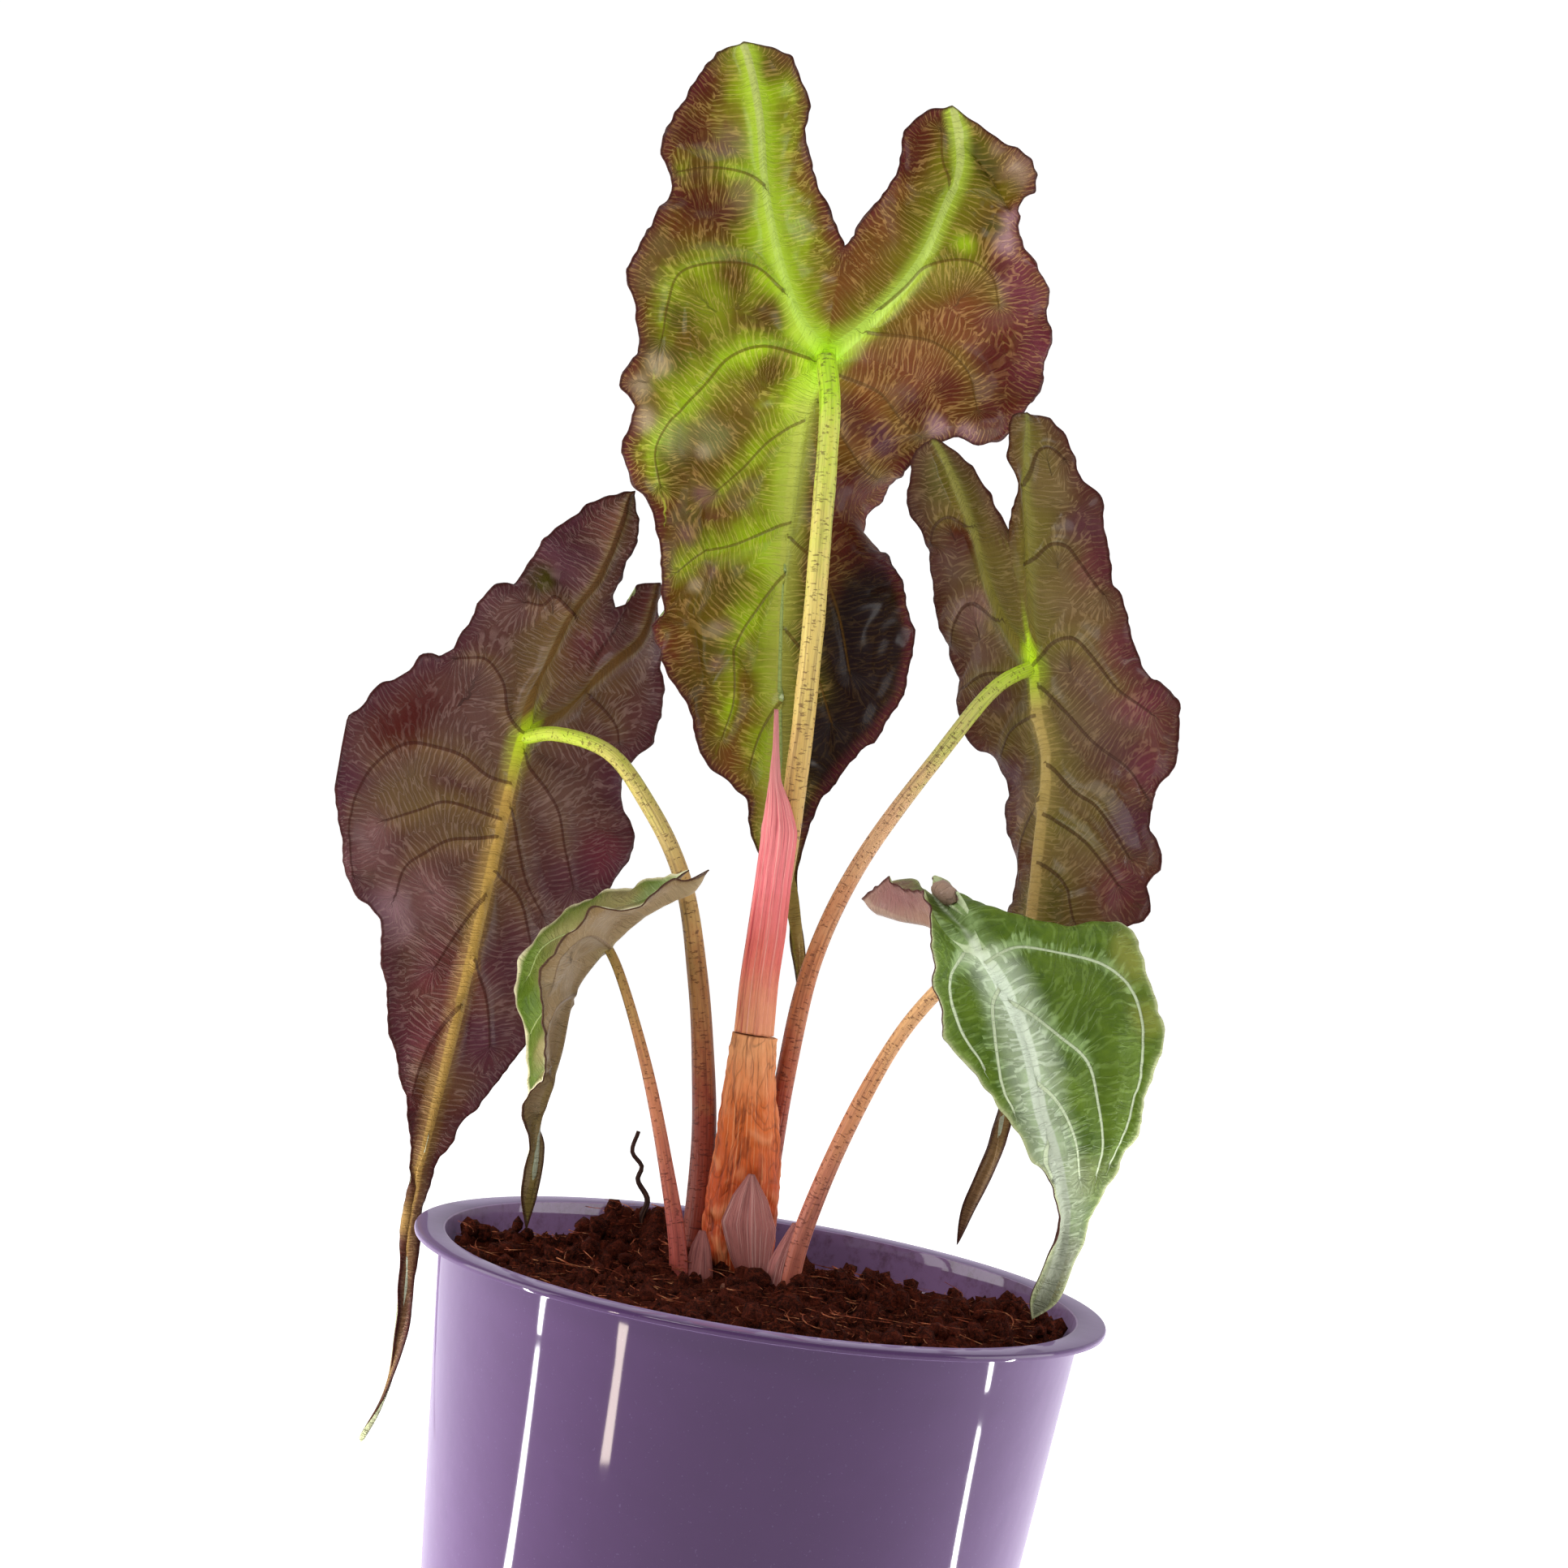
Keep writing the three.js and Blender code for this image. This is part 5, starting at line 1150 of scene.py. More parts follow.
STALK_TONES = {
    "large_leaf_stalk": [(0.0, "8a3a2c"), (0.3, "a8683c"), (0.5, "c0985c"), (0.75, "c8b468"), (0.9, "b4bc50"),
                         (1.0, "a0c820")],
    "left_leaf_stalk": [(0.0, "7c3024"), (0.3, "8c4030"), (0.5, "b08050"), (0.72, "c8b070"), (0.86, "b8b850"),
                        (1.0, "b0d028")],
    "right_leaf_stalk": [(0.0, "842c22"), (0.3, "9f4b37"), (0.5, "bc7c54"), (0.7, "d0a47c"), (0.85, "b8b464"),
                         (1.0, "b4d42c")],
    "small_left_leaf_stalk": [(0.0, "96403c"), (0.3, "b0564c"), (0.6, "c07a58"), (1.0, "b09858")],
    "small_right_leaf_stalk": [(0.0, "9c4c40"), (0.3, "bc6f5d"), (0.6, "c88a60"), (1.0, "d8b07c")],
}


def across_of(tangent):
    """Two directions across a line that follow it without turning about it."""
    sideways = np.cross(tangent, [0.0, 1.0, 0.0])
    sideways /= np.linalg.norm(sideways, axis=1)[:, None]
    return sideways, np.cross(tangent, sideways)


def along_stalk(path, foot, top, seed):
    """Places on a stalk's skin, with the straightened skin in millimetres beside them."""
    line = Line(path)

    def place(share, turn):
        here, tangent = line(share), line(share + 0.004) - line(share - 0.004)
        tangent /= np.linalg.norm(tangent, axis=1)[:, None]
        side, back = across_of(tangent)
        angle = 2 * math.pi * turn
        radius = top + (foot - top) * (1 - share) ** TAPER
        flat = np.stack([np.cos(angle), np.sin(angle), share * 0], axis=1)
        knots = ripple(np.column_stack([flat[:, :2] * 3, share * line.length]), 14, seed)
        radius = radius * (1 + KNOTS * knots + RIDGES * np.cos(RIDGE_COUNT * angle + 2 * share))
        return here + radius[:, None] * (np.cos(angle)[:, None] * side + np.sin(angle)[:, None] * back)

    return place, line.length


def keep_skin(mesh, radius, length):
    """The straightened skin of a tube as an attribute, from the grid numbers it was laid with."""
    down, across = (values_of(mesh.attributes[name].data, "value", 1)[:, 0] for name in ("down", "across"))
    angle = 2 * math.pi * across
    skin = np.stack([radius * np.cos(angle), radius * np.sin(angle), down * length], axis=1)
    attribute(mesh, "skin", "FLOAT_VECTOR", "POINT", skin)
    drop(mesh, "down", "across")


def build_stalk(name, seed):
    foot, top, path = STALKS[name]
    place, length = along_stalk(path, foot, top, seed)
    bm = bmesh.new()
    tube(bm, place, rings=int(length / STALK_STEP), sides=STALK_SIDES)
    piece = piece_from(bm, f"{name}_fine", [name], [stalk_skin(name, STALK_TONES[name], length)])
    keep_skin(piece.data, foot, length)
    return piece


def sheath_skin(name, stops, dark, pale, drawn, rough, crumple=0.0):
    """A dry or fleshy sheath: a run of colour from foot to top with drawn-out fibres, and where it is
    crumpled, painted shade in the creases of its folds and painted light on their faces.
    """

    def build(r):
        skin = r.attribute("skin").outputs["Vector"]
        height = r.parts(skin)[2]
        fibres = r.noise(r.vector(skin, drawn), scale=1.0, detail=4.0, rough=0.65, twist=0.6)
        rib_place = r.vector(skin, (drawn[0] * 2.3, drawn[1] * 2.3, drawn[2] * 0.6))
        ribs = r.noise(rib_place, scale=1.0, detail=2.0, rough=0.5)
        uneven = r.use(mottle(), skin, 6.0)
        wander = r.plus(r.math("DIVIDE", height, SHEATH_RUN), r.times(uneven, 0.08))
        base = r.ramp(wander, [(share, linear(tone)) for share, tone in stops])
        colour = r.mix(r.span(fibres, 0.5, 0.3, 0.0, 0.75), base, linear(dark))
        colour = r.mix(r.span(ribs, 0.55, 0.72, 0.0, 0.65), colour, linear(pale))
        tone = r.plus(r.times(fibres, 0.25), rough)
        folds = r.noise(r.vector(skin, (0.17, 0.17, 0.11)), scale=1.0, detail=2.0, rough=0.5, twist=0.8)
        folds = r.math("ABSOLUTE", r.minus(folds, 0.5))
        # Painted shade darkens the creases of the folds, and painted light brightens their faces; the bump
        # follows the same folds.
        colour = r.mix(r.span(folds, 0.035, 0.0, 0.0, 0.35 * crumple), colour, linear(dark))
        colour = r.mix(r.span(folds, 0.06, 0.2, 0.0, 0.4 * crumple), colour, linear(pale))
        height = r.plus(fibres, r.times(ribs, 0.6))
        return colour, tone, r.plus(height, r.times(folds, 4 * crumple)), SHEATH_BUMP

    return surface(name, build, Specular_IOR_Level=0.2)


def build_sheath(name, sections, skin, sides, rings, relief):
    """A sleeve through measured sections, pleated and crumpled by the relief function."""
    sections = np.array(sections, float)
    line = Line(sections[:, :3])
    marks = np.concatenate([[0], np.cumsum(np.linalg.norm(np.diff(sections[:, :3], axis=0), axis=1))])
    marks /= marks[-1]

    def place(share, turn):
        here = line(share)
        wide = np.interp(share, marks, sections[:, 3])
        deep = np.interp(share, marks, sections[:, 4])
        angle = 2 * math.pi * turn
        pleat = relief(share, angle, wide)
        out = np.stack([np.cos(angle) * (wide + pleat), np.sin(angle) * (deep + pleat), share * 0], axis=1)
        return here + out

    bm = bmesh.new()
    tube(bm, place, rings, sides)
    piece = piece_from(bm, f"{name}_fine", [name], [skin])
    keep_skin(piece.data, sections[:, 3].max(), line.length)
    return piece


# Pot


def pot_skin(values):
    """Glossy plastic outside, and inside a paler copy of the same plastic, lightened as painted light falling
    into the pot and flecked with dust, told apart by the distance from the axis.
    """

    def build(r):
        place = r.place()
        x, y, z = r.parts(place)
        out = r.math("SQRT", r.plus(r.times(x, x), r.times(y, y)))
        wall = r.plus(r.times(z, (WALL_TOP - WALL_FOOT) / POT_HEIGHT), WALL_FOOT - 0.6)
        inner = r.span(r.minus(out, wall), 0.0, -0.3)
        uneven = r.use(mottle(), place, 40.0)
        dust = r.noise(place, scale=0.35, detail=4.0, rough=0.7)
        shell = r.mix(r.times(uneven, 0.25), tuple(values.wall), linear("32183e"))
        # The lining: a paler copy of the wall, painted light falling into the pot, with darker dusty patches.
        lining = r.mix(r.span(dust, 0.45, 0.75, 0.0, 0.6), tuple(values.inside), linear("4a3038"))
        colour = r.mix(inner, shell, lining)
        specks = r.span(r.noise(place, scale=2.1, detail=1.0), 0.7, 0.76, 0.0, 0.35)
        colour = r.mix(specks, colour, linear("5c4a6c"))
        rough = r.plus(r.times(inner, 0.3), r.times(uneven, 0.08))
        rough = r.plus(rough, 0.2)
        swell = r.noise(r.vector(place, (0.12, 0.12, 0.16)), scale=1.0, detail=2.0, rough=0.5)
        fine = r.times(r.noise(place, scale=0.9, detail=3.0), 0.04)
        return colour, rough, r.plus(swell, fine), POT_BUMP

    return surface("pot", build, Specular_IOR_Level=0.0, Coat_Weight=0.6, Coat_Roughness=0.05,
                   Sheen_Weight=0.5, Sheen_Roughness=0.5, Sheen_Tint=linear("c8b4e0"))


def ring_edges(bm, height, radius):
    """The open edges of a ring about the pot's axis."""
    return [edge for edge in bm.edges if edge.is_boundary and all(
        abs(v.co.z - height) < 0.01 and abs(v.co.xy.length - radius) < 0.05 for v in edge.verts)]


def build_pot(values):
    """The turned pot: its profile runs up the outside, over the flange, and down the inside to the floor.

    The small steps in it, in millimetres, round its corners.
    """
    under = POT_HEIGHT - FLANGE_THICK
    ledge = POT_HEIGHT - LEDGE_DEPTH

    def outside(z):
        return WALL_FOOT + (WALL_TOP - WALL_FOOT) * z / POT_HEIGHT

    def inside(z):
        return outside(z) - WALL

    foot, floor_ring = outside(0) - 1.0, inside(POT_FLOOR) - 1.2
    profile = [(foot, 0), (outside(0) - 0.35, 0.12), (outside(0.4) - 0.05, 0.4), (outside(1), 1.0)]
    profile += [(outside(z), z) for z in np.linspace(1, under - 1.2, 16)[1:]]
    profile += [(outside(under) + 0.12, under - 0.4), (outside(under) + 0.7, under)]
    profile += [(FLANGE_RADIUS - 0.5, under), (FLANGE_RADIUS - 0.12, under + 0.12),
                (FLANGE_RADIUS, under + 0.45), (FLANGE_RADIUS, POT_HEIGHT - 0.45),
                (FLANGE_RADIUS - 0.15, POT_HEIGHT - 0.12), (FLANGE_RADIUS - 0.5, POT_HEIGHT)]
    profile += [(inside(POT_HEIGHT) + 0.7, POT_HEIGHT), (inside(POT_HEIGHT) + 0.15, POT_HEIGHT - 0.2),
                (inside(POT_HEIGHT - 0.9), POT_HEIGHT - 0.9)]
    profile += [(inside(z), z) for z in np.linspace(POT_HEIGHT - 0.9, ledge + 0.5, 5)[1:]]
    profile += [(inside(ledge) - 0.1, ledge), (inside(ledge) - LEDGE_WIDTH, ledge - 0.3),
                (inside(ledge) - LEDGE_WIDTH, ledge - 1.0), (inside(ledge - 1.6), ledge - 1.6)]
    profile += [(inside(z), z) for z in np.linspace(ledge - 1.6, POT_FLOOR + 1.4, 8)[1:]]
    profile += [(inside(POT_FLOOR) - 0.4, POT_FLOOR + 0.3), (floor_ring, POT_FLOOR)]

    bm = bmesh.new()
    verts = [bm.verts.new((radius, 0, z)) for radius, z in profile]
    edges = [bm.edges.new(pair) for pair in zip(verts, verts[1:])]
    bmesh.ops.spin(bm, geom=verts + edges, cent=(0, 0, 0), axis=(0, 0, 1), angle=2 * math.pi,
                   steps=values.sides, use_merge=True)
    for height, radius in ((0.0, foot), (POT_FLOOR, floor_ring)):
        for hole in range(DRAIN_HOLES):
            angle = 2 * math.pi * (hole + 0.5) / DRAIN_HOLES
            at = Matrix.Translation((DRAIN_CIRCLE * math.cos(angle), DRAIN_CIRCLE * math.sin(angle), height))
            bmesh.ops.create_circle(bm, segments=32, radius=DRAIN_RADIUS, matrix=at)
        rims = ring_edges(bm, height, radius)
        rims += [edge for edge in bm.edges if not edge.link_faces and abs(edge.verts[0].co.z - height) < 0.01]
        bmesh.ops.triangle_fill(bm, edges=rims, use_beauty=True, normal=(0, 0, 1))
    drains = [edge for edge in bm.edges if edge.is_boundary]
    bmesh.ops.bridge_loops(bm, edges=drains)
    bmesh.ops.recalc_face_normals(bm, faces=bm.faces)
    piece = piece_from(bm, "pot_fine", ["pot"], [pot_skin(values)])
    piece.data.set_sharp_from_angle(angle=math.radians(50))
    return piece


# Soil


def soil_height(x, y):
    """The level of the soil, which drops towards the back and heaps up in places."""
    back = np.clip((y + 4) / 44, 0, 1)
    level = SOIL_LEVEL - SOIL_DROP * back * back * (3 - 2 * back)
    level = level + 0.5 * np.sin(0.9 * x + 1.3) * np.cos(0.8 * y) + 0.3 * np.sin(0.037 * x * y)
    for at_x, at_y, height, spread in SOIL_HUMPS:
        level = level + height * np.exp(-((x - at_x) ** 2 + (y - at_y) ** 2) / (2 * spread**2))
    return level


# Clods are a height, a fineness, and the roughness and lacunarity of their noise.
CLODS = ((3.2, 0.13, 0.9, 2.0), (2.0, 0.45, 0.8, 2.1))
SOIL_RINGS, SOIL_SPOKES = 110, 330


def clods(points):
    """The crumbly relief of the soil's top, in millimetres."""
    return np.array([sum(height * noise.fractal(Vector(point) * fine, rough, gaps, 3)
                         for height, fine, rough, gaps in CLODS) for point in points])


def soil_skin(values):
    """Dark peat with lighter crumbs and strands of fibre, and painted shade in the low pits of its grain."""

    def build(r):
        place = r.place()
        broad = r.noise(place, scale=0.16, detail=4.0, rough=0.65)
        grain = r.noise(place, scale=1.4, detail=4.0, rough=0.7)
        strand = r.noise(r.vector(place, (0.5, 0.7, 2.6)), scale=1.0, detail=3.0, rough=0.6, twist=2.2)
        # The grain's colour follows its bump: the low grains are painted near black as shade in the pits, and
        # the high ones are lighter and rusty.
        colour = r.ramp(grain, [(0.34, linear("0c0000")), (0.5, tuple(values.peat)), (0.7, linear("7a3420"))])
        colour = r.mix(r.span(broad, 0.45, 0.7, 0.0, 0.6), colour, linear("5a2012"))
        lit = r.span(r.math("ABSOLUTE", r.minus(strand, 0.5)), 0.03, 0.0, 0.0, 0.55)
        colour = r.mix(lit, colour, tuple(values.fibre))
        rough = r.plus(r.times(grain, 0.25), 0.7)
        return colour, rough, r.plus(grain, r.times(lit, 0.7)), SOIL_BUMP

    return surface("soil", build, Specular_IOR_Level=0.06)


def wall_gap(z):
    """The radius just clear of the pot's wall at a height."""
    return WALL_FOOT + (WALL_TOP - WALL_FOOT) * z / POT_HEIGHT - WALL - GAP


def build_soil(skin):
    ledge = POT_HEIGHT - LEDGE_DEPTH
    neck = wall_gap(ledge) - LEDGE_WIDTH

    def top(share, turn):
        radius = neck * (1 - share)
        angle = 2 * math.pi * turn
        x, y = radius * np.cos(angle), radius * np.sin(angle)
        level = soil_height(x, y)
        grain = clods(np.column_stack([x, y, level]))
        return np.column_stack([x, y, level + grain * smoothstep(neck, neck - 3, radius)])

    bm = bmesh.new()
    patch(bm, np.linspace(0, 1, SOIL_RINGS + 1), np.linspace(0, 1, SOIL_SPOKES + 1), top)
    bmesh.ops.remove_doubles(bm, verts=bm.verts, dist=WELD)
    edges = [edge for edge in bm.edges if edge.is_boundary]
    # Down the wall: past the ledge, out to the wall below it, and on to the floor.
    for height, radius in ((ledge - 3, neck), (ledge - 6, wall_gap(ledge - 6)),
                           (SOIL_FLOOR, wall_gap(SOIL_FLOOR))):
        made = bmesh.ops.extrude_edge_only(bm, edges=edges)["geom"]
        fresh = [item for item in made if isinstance(item, bmesh.types.BMVert)]
        for vert in fresh:
            vert.co.xy = vert.co.xy.normalized() * radius
            vert.co.z = height
        kept = set(fresh)
        edges = [item for item in made if isinstance(item, bmesh.types.BMEdge) and set(item.verts) <= kept]
    bmesh.ops.holes_fill(bm, edges=edges, sides=0)
    bmesh.ops.recalc_face_normals(bm, faces=bm.faces)
    piece = piece_from(bm, "soil_body", ["soil"], [skin])
    drop(piece.data, "down", "across")
    return piece


def many(template, count):
    """The template's mesh repeated: it is doubled until there are enough copies, in order."""
    each = len(template.verts)
    while len(template.verts) < each * count:
        bmesh.ops.duplicate(template, geom=template.verts[:] + template.edges[:] + template.faces[:])
    template.verts.ensure_lookup_table()
    bmesh.ops.delete(template, geom=template.verts[each * count :], context="VERTS")
    return each


def spots_on_soil(rng, count):
    """Spots strewn evenly over the soil's top."""
    radius = (wall_gap(POT_HEIGHT - LEDGE_DEPTH) - CRUMB_CLEAR) * np.sqrt(rng.uniform(0, 1, count))
    angle = rng.uniform(0, 2 * math.pi, count)
    x, y = radius * np.cos(angle), radius * np.sin(angle)
    level = soil_height(x, y)
    return np.column_stack([x, y, level + clods(np.column_stack([x, y, level]))])


def turned_about(rng, count):
    """Random turns, as a 3 x 3 matrix each."""
    q = rng.normal(size=(count, 4))
    w, x, y, z = (q / np.linalg.norm(q, axis=1)[:, None]).T
    rows = [[1 - 2 * (y * y + z * z), 2 * (x * y - z * w), 2 * (x * z + y * w)],
            [2 * (x * y + z * w), 1 - 2 * (x * x + z * z), 2 * (y * z - x * w)],
            [2 * (x * z - y * w), 2 * (y * z + x * w), 1 - 2 * (x * x + y * y)]]
    return np.array(rows).transpose(2, 0, 1)


# Millimetres: the largest crumb, how far crumbs and fibres lie above their spot, how near to the
# wall they come, and a fibre's length, thickness and bend.
CRUMB_SIZE, CRUMB_LIFT, FIBRE_LIFT, CRUMB_CLEAR, FIBRE_CLEAR = 3.0, 0.25, 0.5, 1.6, 0.9
FIBRE_SEGMENTS, FIBRE_LENGTH, FIBRE_THICK, FIBRE_BEND = 6, (3, 13), (0.06, 0.16), (-2.2, 2.2)


def build_crumbs(values, skin):
    """Loose crumbs of peat, each an uneven lump half sunk in the soil."""
    rng = np.random.default_rng(12)
    bm = bmesh.new()
    bmesh.ops.create_icosphere(bm, subdivisions=1, radius=1.0)
    each = many(bm, values.crumbs)
    shape = np.array([vert.co for vert in bm.verts]).reshape(-1, each, 3)
    count = len(shape)
    shape = shape * rng.uniform(0.7, 1.3, (count, each, 1))
    size = rng.uniform(0.35, 1.0, (count, 1, 1)) ** 2.2 * CRUMB_SIZE
    turns = turned_about(rng, count)
    shape = np.einsum("nij,nkj->nki", turns, shape * size * rng.uniform(0.5, 1, (count, 1, 3)))
    shape += spots_on_soil(rng, count)[:, None] + np.array([0, 0, CRUMB_LIFT])
    for vert, point in zip(bm.verts, shape.reshape(-1, 3)):
        vert.co = point
    return piece_from(bm, "soil_crumbs", ["soil"], [skin])


def build_fibres(values, skin):
    """Loose coconut fibres, each a thin three-sided strand with a bend of its own."""
    rng = np.random.default_rng(34)
    bm = bmesh.new()
    bmesh.ops.create_cone(bm, cap_ends=True, segments=3, radius1=1.0, radius2=0.5, depth=1.0)
    long_edges = [edge for edge in bm.edges if abs(edge.verts[0].co.z - edge.verts[1].co.z) > 0.5]
    bmesh.ops.subdivide_edges(bm, edges=long_edges, cuts=FIBRE_SEGMENTS - 1, use_grid_fill=True)
    each = many(bm, values.fibres)
    shape = np.array([vert.co for vert in bm.verts]).reshape(-1, each, 3)
    count = len(shape)
    along = shape[..., 2] + 0.5
    length = rng.uniform(*FIBRE_LENGTH, (count, 1))
    thick = rng.uniform(*FIBRE_THICK, (count, 1))
    bend = rng.uniform(*FIBRE_BEND, (count, 1))
    heading = rng.uniform(0, 2 * math.pi, (count, 1)) + bend * (along - 0.5)
    rise = rng.normal(0, 0.28, (count, 1)) + 0.8 * rng.normal(0, 0.5, (count, 1)) * (along - 0.5)
    x = length * (along - 0.5) * np.cos(heading) + shape[..., 0] * thick
    y = length * (along - 0.5) * np.sin(heading) + shape[..., 1] * thick
    z = length * (along - 0.5) * np.sin(rise) * 0.5 + shape[..., 0] * thick * 0.7
    placed = np.stack([x, y, z], axis=-1) + spots_on_soil(rng, count)[:, None] + np.array([0, 0, FIBRE_LIFT])
    reach = np.linalg.norm(placed[..., :2], axis=-1, keepdims=True)
    limit = wall_gap(POT_HEIGHT - LEDGE_DEPTH) - FIBRE_CLEAR
    placed[..., :2] *= np.minimum(1, limit / reach)
    placed[..., 2] = np.maximum(placed[..., 2], soil_height(placed[..., 0], placed[..., 1]) - 1.0)
    for vert, point in zip(bm.verts, placed.reshape(-1, 3)):
        vert.co = point
    return piece_from(bm, "soil_fibres", ["soil"], [skin])


def fibre_skin(values):
    def build(r):
        place = r.place()
        tone = r.noise(place, scale=0.5, detail=2.0, rough=0.5)
        colour = r.ramp(tone, [(0.3, linear("4a2016")), (0.5, tuple(values.fibre)), (0.7, linear("c98a5e"))])
        return colour, r.plus(r.times(tone, 0.2), 0.6), r.noise(place, scale=3.0, detail=2.0), 0.2

    return surface("soil fibre", build, Specular_IOR_Level=0.15)


# Operators


# The camera in metres and degrees; it was fitted to the photo's rim.
LENS, SENSOR, CLIP = 74.53, 36.0, (0.01, 20.0)
CAMERA_AT, CAMERA_TIP, CAMERA_ROLL = (-0.0095, -0.6, 0.2116), 1.15, 8.76
# How bright the room looks to the camera, and what share of that the gloss mirrors.
ROOM_LIGHT, MIRRORED = 1.05, 0.4
FLOOR_RADIUS, FLOOR_GLOW = 3.5, 0.74
WHITE = (1.0, 1.0, 1.0)
LAMPS_LOOK_AT = Vector((0, 0, 0.17))
# Name, place and size in metres, power in watts, and colour.
LAMPS = (
    ("front", (-0.42, -0.75, 0.85), (0.32, 0.32), 3.6, (1.0, 0.99, 0.97)),
    ("left side", (-0.8, -0.05, 0.3), (0.6, 0.6), 5.5, WHITE),
    ("right side", (0.8, -0.02, 0.3), (0.6, 0.6), 5.0, WHITE),
    ("top", (0.0, 0.1, 1.1), (0.6, 0.6), 3.0, WHITE),
)
# Low strips beside the pot: they are what its glossy wall mirrors as upright streaks. A streak is
# a name, a direction in degrees from the front, a distance, and size, power and colour as above.
STREAKS = (
    ("left streak", -74, 0.19, (0.01, 0.24), 0.5, WHITE),
    ("warm streak", -42, 0.3, (0.014, 0.13), 0.16, (1.0, 0.86, 0.72)),
    ("right streak", 87, 0.19, (0.01, 0.24), 0.5, WHITE),
)
STREAK_HEIGHT = 0.004


class ALOCASIA_OT_stage(bpy.types.Operator):
    """Sets the camera, the soft lights and the plain floor"""

    bl_idname = "alocasia.stage"
    bl_label = "Camera, lights and floor"

    def execute(self, context):
        scene, values = context.scene, context.scene.alocasia_stage
        scene.view_settings.view_transform = "Standard"
        lens = bpy.data.cameras.new("camera")
        lens.lens, lens.sensor_width = LENS, SENSOR
        lens.clip_start, lens.clip_end = CLIP
        camera = bpy.data.objects.new("camera", lens)
        scene.collection.objects.link(camera)
        tip, roll = math.radians(CAMERA_TIP), math.radians(CAMERA_ROLL)
        up, right = Vector((0, math.sin(tip), math.cos(tip))), Vector((1, 0, 0))
        axes = [math.cos(roll) * right + math.sin(roll) * up, -math.sin(roll) * right + math.cos(roll) * up,
                Vector((0, -math.cos(tip), math.sin(tip)))]
        turn = Matrix(axes).transposed().to_quaternion()
        camera.matrix_world = Matrix.LocRotScale(Vector(CAMERA_AT), turn, None)
        scene.camera = camera

        world = bpy.data.worlds.new("white room")
        world.use_nodes = True
        r = Recipe(world.node_tree)
        world.node_tree.nodes.clear()
        rays = r.node("ShaderNodeLightPath").outputs
        seen = r.math("MAXIMUM", rays["Is Camera Ray"], r.times(rays["Is Glossy Ray"], MIRRORED))
        strength = r.plus(r.times(seen, ROOM_LIGHT - values.soft_light), values.soft_light)
        light = r.node("ShaderNodeBackground", {"Color": WHITE, "Strength": strength})
        out = r.node("ShaderNodeOutputWorld")
        world.node_tree.links.new(light.outputs[0], out.inputs[0])
        scene.world = world

        for name, place, size, power, warmth in LAMPS:
            holder = self.lamp(scene, name, place, size, power, warmth)
            holder.rotation_quaternion = (LAMPS_LOOK_AT - Vector(place)).to_track_quat("-Z", "Y")
        for name, turn, reach, size, power, warmth in STREAKS:
            angle = math.radians(turn)
            place = Vector((math.sin(angle), -math.cos(angle), 0)) * reach + Vector((0, 0, STREAK_HEIGHT))
            holder = self.lamp(scene, name, place, size, power, warmth)
            facing_up = Matrix.Rotation(angle, 3, "Z") @ Matrix.Rotation(math.pi, 3, "X")
            holder.rotation_quaternion = facing_up.to_quaternion()
            holder.visible_camera = False

        bm = bmesh.new()
        bmesh.ops.create_circle(bm, cap_ends=True, segments=96, radius=FLOOR_RADIUS)
        mesh = bpy.data.meshes.new("floor")
        bm.to_mesh(mesh)
        bm.free()
        floor = bpy.data.objects.new("floor", mesh)
        scene.collection.objects.link(floor)

        def build(r):
            tone = r.noise(r.place(), scale=0.01, detail=3.0)
            colour = r.mix(r.times(tone, 0.08), tuple(values.floor), (0.8, 0.8, 0.8))
            return colour, r.plus(r.times(tone, 0.1), 0.6), tone, 0.1

        skin = surface("floor", build, Emission_Color=WHITE, Emission_Strength=FLOOR_GLOW)
        mesh.materials.append(skin)
        return {"FINISHED"}

    def lamp(self, scene, name, place, size, power, warmth):
        lamp = bpy.data.lights.new(name, "AREA")
        lamp.shape, lamp.size, lamp.size_y = "RECTANGLE", *size
        lamp.energy, lamp.color = power, warmth
        holder = bpy.data.objects.new(name, lamp)
        scene.collection.objects.link(holder)
        holder.location = place
        holder.rotation_mode = "QUATERNION"
        return holder


class ALOCASIA_OT_pot(bpy.types.Operator):
    """Turns the flanged nursery pot with its ledge and drain holes"""

    bl_idname = "alocasia.pot"
    bl_label = "Pot"

    def execute(self, context):
        build_pot(context.scene.alocasia_pot)
        return {"FINISHED"}


class ALOCASIA_OT_soil(bpy.types.Operator):
    """Heaps the peat, with its loose crumbs and fibres"""

    bl_idname = "alocasia.soil"
    bl_label = "Soil"

    def execute(self, context):
        values = context.scene.alocasia_soil
        skin = soil_skin(values)
        build_soil(skin)
        build_crumbs(values, skin)
        build_fibres(values, fibre_skin(values))
        return {"FINISHED"}


class ALOCASIA_OT_blades(bpy.types.Operator):
    """Grows the five crinkled leaf blades"""

    bl_idname = "alocasia.blades"
    bl_label = "Leaf blades"

    def execute(self, context):
        for name, facts in LEAVES.items():
            Blade(name, facts, context.scene.alocasia_blades).build()
        return {"FINISHED"}


class ALOCASIA_OT_stalks(bpy.types.Operator):
    """Grows the five leaf stalks"""

    bl_idname = "alocasia.stalks"
    bl_label = "Leaf stalks"

    def execute(self, context):
        for seed, name in enumerate(STALKS):
            build_stalk(name, seed + 40)
        return {"FINISHED"}


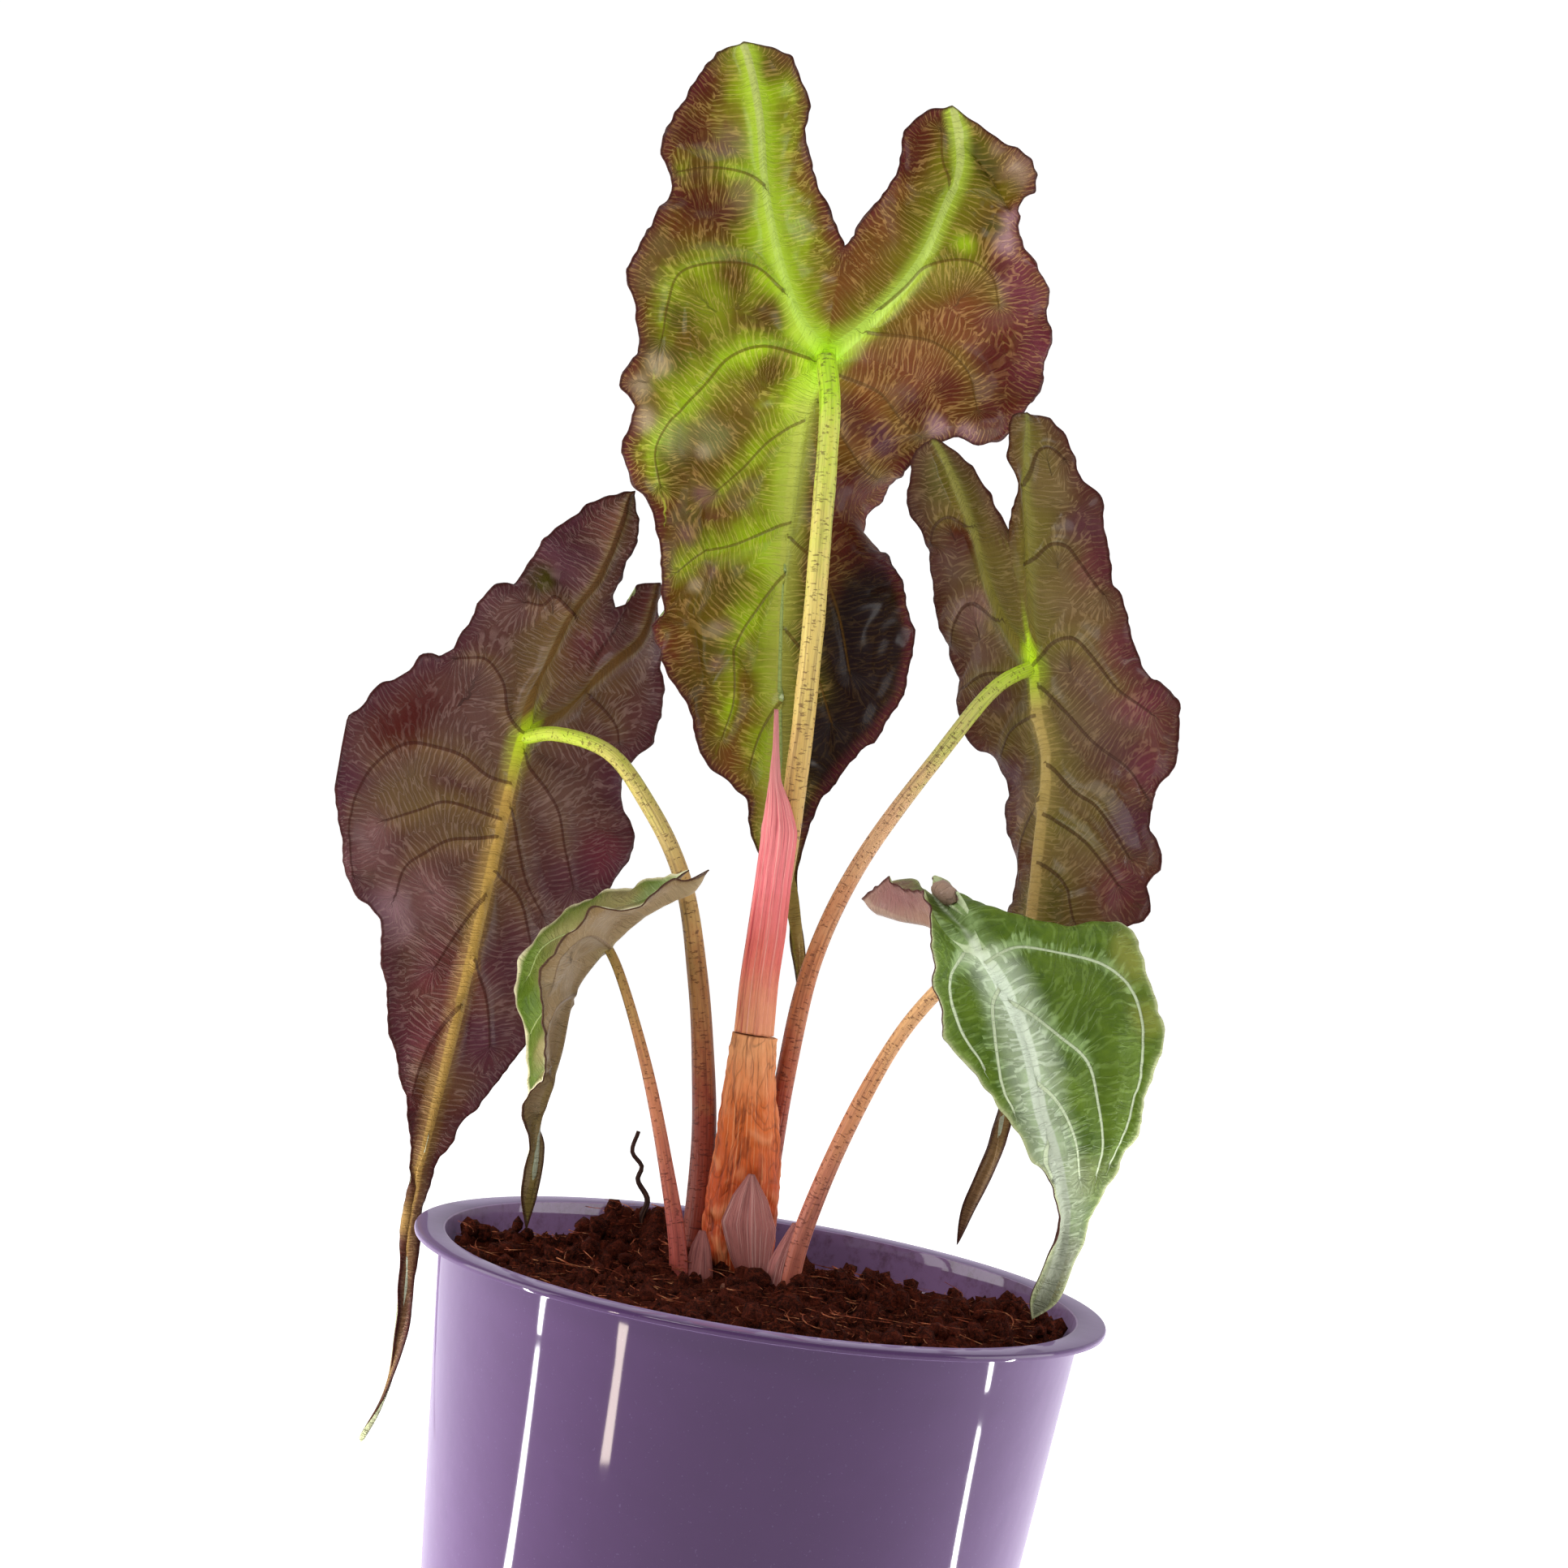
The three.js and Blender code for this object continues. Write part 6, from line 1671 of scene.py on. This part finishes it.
class ALOCASIA_OT_sheaths(bpy.types.Operator):
    """Wraps the sheaths round the foot of the stalks"""

    bl_idname = "alocasia.sheaths"
    bl_label = "Sheaths"

    def execute(self, context):
        pink = sheath_skin(
            "pink sheath",
            [(0.0, "e09a6c"), (0.16, "e08c6c"), (0.34, "dc6c60"), (0.6, "f07c80"), (1.0, "e89090")],
            "a41c34", "f8bcae", (1.9, 1.9, 0.04), 0.35)
        # The papery sheath is crumpled: its dark and pale tones also paint shade in the folds' creases and
        # light on their faces.
        papery = sheath_skin(
            "papery sheath",
            [(0.0, "6c220c"), (0.2, "a83c14"), (0.5, "c4501c"), (0.75, "d86c30"), (1.0, "e49c68")],
            "4e1406", "f0a470", (1.1, 1.1, 0.09), 0.4, crumple=1.0)
        mauve = sheath_skin(
            "base sheath", [(0.0, "844c48"), (0.2, "a0605a"), (0.4, "b36f69"), (1.0, "b88078")],
            "6a3436", "d8a8a0", (1.2, 1.2, 0.08), 0.45)

        def ribbed(share, angle, wide):
            return 0.07 * wide * (0.5 * np.cos(9 * angle) + 0.5 * np.cos(14 * angle + 3 * share))

        def crumpled(share, angle, wide):
            flat = np.column_stack([5 * np.cos(angle), 5 * np.sin(angle), 50 * share])
            folds = 0.55 * (1 - np.abs(ripple(flat, 9, 3))) + 0.3 * (1 - np.abs(ripple(flat, 4, 4)))
            return folds - 0.4 + 0.15 * np.cos(11 * angle + 14 * share)

        for name, skin, sides, rings, relief in (
            ("pink_sheath", pink, 48, 90, ribbed),
            ("papery_sheath", papery, 72, 110, crumpled),
            ("base_sheath", mauve, 40, 50, ribbed),
        ):
            build_sheath(name, SHEATHS[name], skin, sides, rings, relief)
        for name, sections in WINGS.items():
            build_sheath(name, sections, mauve, 32, 36, ribbed).name = f"{name}_wing"
        return {"FINISHED"}


# How much of its solid the chip fills, and its bevel and roughness in millimetres.
CHIP_SHARE, CHIP_BEVEL, CHIP_ROUGH = 0.97, 0.35, 0.22


class ALOCASIA_OT_litter(bpy.types.Operator):
    """Lays the dead root and the bark chip on the soil"""

    bl_idname = "alocasia.litter"
    bl_label = "Dead root and bark chip"

    def execute(self, context):
        wood = sheath_skin(
            "dead root", [(0.0, "24100c"), (0.5, "3c2018"), (1.0, "5a3828")],
            "140604", "9a7050", (1.2, 1.2, 0.2), 0.6)
        foot, top, path = DEAD_ROOT
        place, length = along_stalk(path, foot, top, 77)
        bm = bmesh.new()
        tube(bm, place, rings=30, sides=14)
        piece = piece_from(bm, "dead_root_fine", ["dead_root"], [wood])
        keep_skin(piece.data, foot, length)

        def build(r):
            place = r.place()
            grain = r.noise(r.vector(place, (0.5, 2.2, 2.2)), scale=1.0, detail=4.0, rough=0.6)
            stops = [(0.3, linear("3a1c12")), (0.5, linear("7a4630")), (0.7, linear("a8744c"))]
            colour = r.ramp(grain, stops)
            return colour, r.plus(r.times(grain, 0.2), 0.65), grain, 0.4

        long, wide, thick = (side * CHIP_SHARE for side in CHIP_SIZE)
        outline = [(-long / 2, -wide * 0.3), (long * 0.2, -wide / 2), (long / 2, -wide * 0.1),
                   (long * 0.35, wide / 2), (-long * 0.4, wide * 0.35)]
        bm = bmesh.new()
        base = bm.faces.new([bm.verts.new((x, y, -thick / 2)) for x, y in outline])
        grown = bmesh.ops.extrude_face_region(bm, geom=[base])["geom"]
        risen = [item for item in grown if isinstance(item, bmesh.types.BMVert)]
        bmesh.ops.translate(bm, vec=(0, 0, thick), verts=risen)
        bmesh.ops.recalc_face_normals(bm, faces=bm.faces)
        bmesh.ops.bevel(
            bm, geom=bm.edges[:], offset=CHIP_BEVEL, affect="EDGES", segments=2, profile=0.5, material=-1)
        bmesh.ops.triangulate(bm, faces=[face for face in bm.faces if len(face.verts) > 4])
        bmesh.ops.subdivide_edges(bm, edges=bm.edges, cuts=3, use_grid_fill=True)
        for vert in bm.verts:
            vert.co += vert.normal * CHIP_ROUGH * noise.fractal(vert.co * 1.3, 0.8, 2.0, 3)
        turn = Matrix.Rotation(CHIP_TURN, 3, "Z") @ Matrix.Rotation(CHIP_TILT, 3, "X")
        bmesh.ops.transform(bm, matrix=Matrix.Translation(CHIP_AT) @ turn.to_4x4(), verts=bm.verts)
        piece_from(bm, "bark_chip_fine", ["bark_chip"], [surface("bark chip", build)])
        return {"FINISHED"}


class ALOCASIA_PT_panel(bpy.types.Panel):
    """Lists the steps and their values"""

    bl_idname = "ALOCASIA_PT_panel"
    bl_label = "Potted Alocasia"
    bl_space_type = "VIEW_3D"
    bl_region_type = "UI"
    bl_category = "Alocasia"

    def draw(self, context):
        for step in STEPS:
            self.layout.operator(step.bl_idname)
        for name in GROUPS:
            values = getattr(context.scene, name)
            for key in values.__annotations__:
                self.layout.prop(values, key)


STEPS = (ALOCASIA_OT_stage, ALOCASIA_OT_pot, ALOCASIA_OT_soil, ALOCASIA_OT_blades, ALOCASIA_OT_stalks,
         ALOCASIA_OT_sheaths, ALOCASIA_OT_litter)
GROUPS = {"alocasia_pot": PotValues, "alocasia_soil": SoilValues, "alocasia_blades": BladeValues,
          "alocasia_stage": StageValues}


def register():
    for made in (*GROUPS.values(), *STEPS, ALOCASIA_PT_panel):
        bpy.utils.register_class(made)
    for name, made in GROUPS.items():
        setattr(bpy.types.Scene, name, PointerProperty(type=made))


def unregister():
    for name in GROUPS:
        delattr(bpy.types.Scene, name)
    for made in (ALOCASIA_PT_panel, *STEPS[::-1], *GROUPS.values()):
        bpy.utils.unregister_class(made)


def main():
    register()
    for step in STEPS:
        getattr(bpy.ops.alocasia, step.bl_idname.split(".")[1])()


if __name__ == "__main__":
    main()
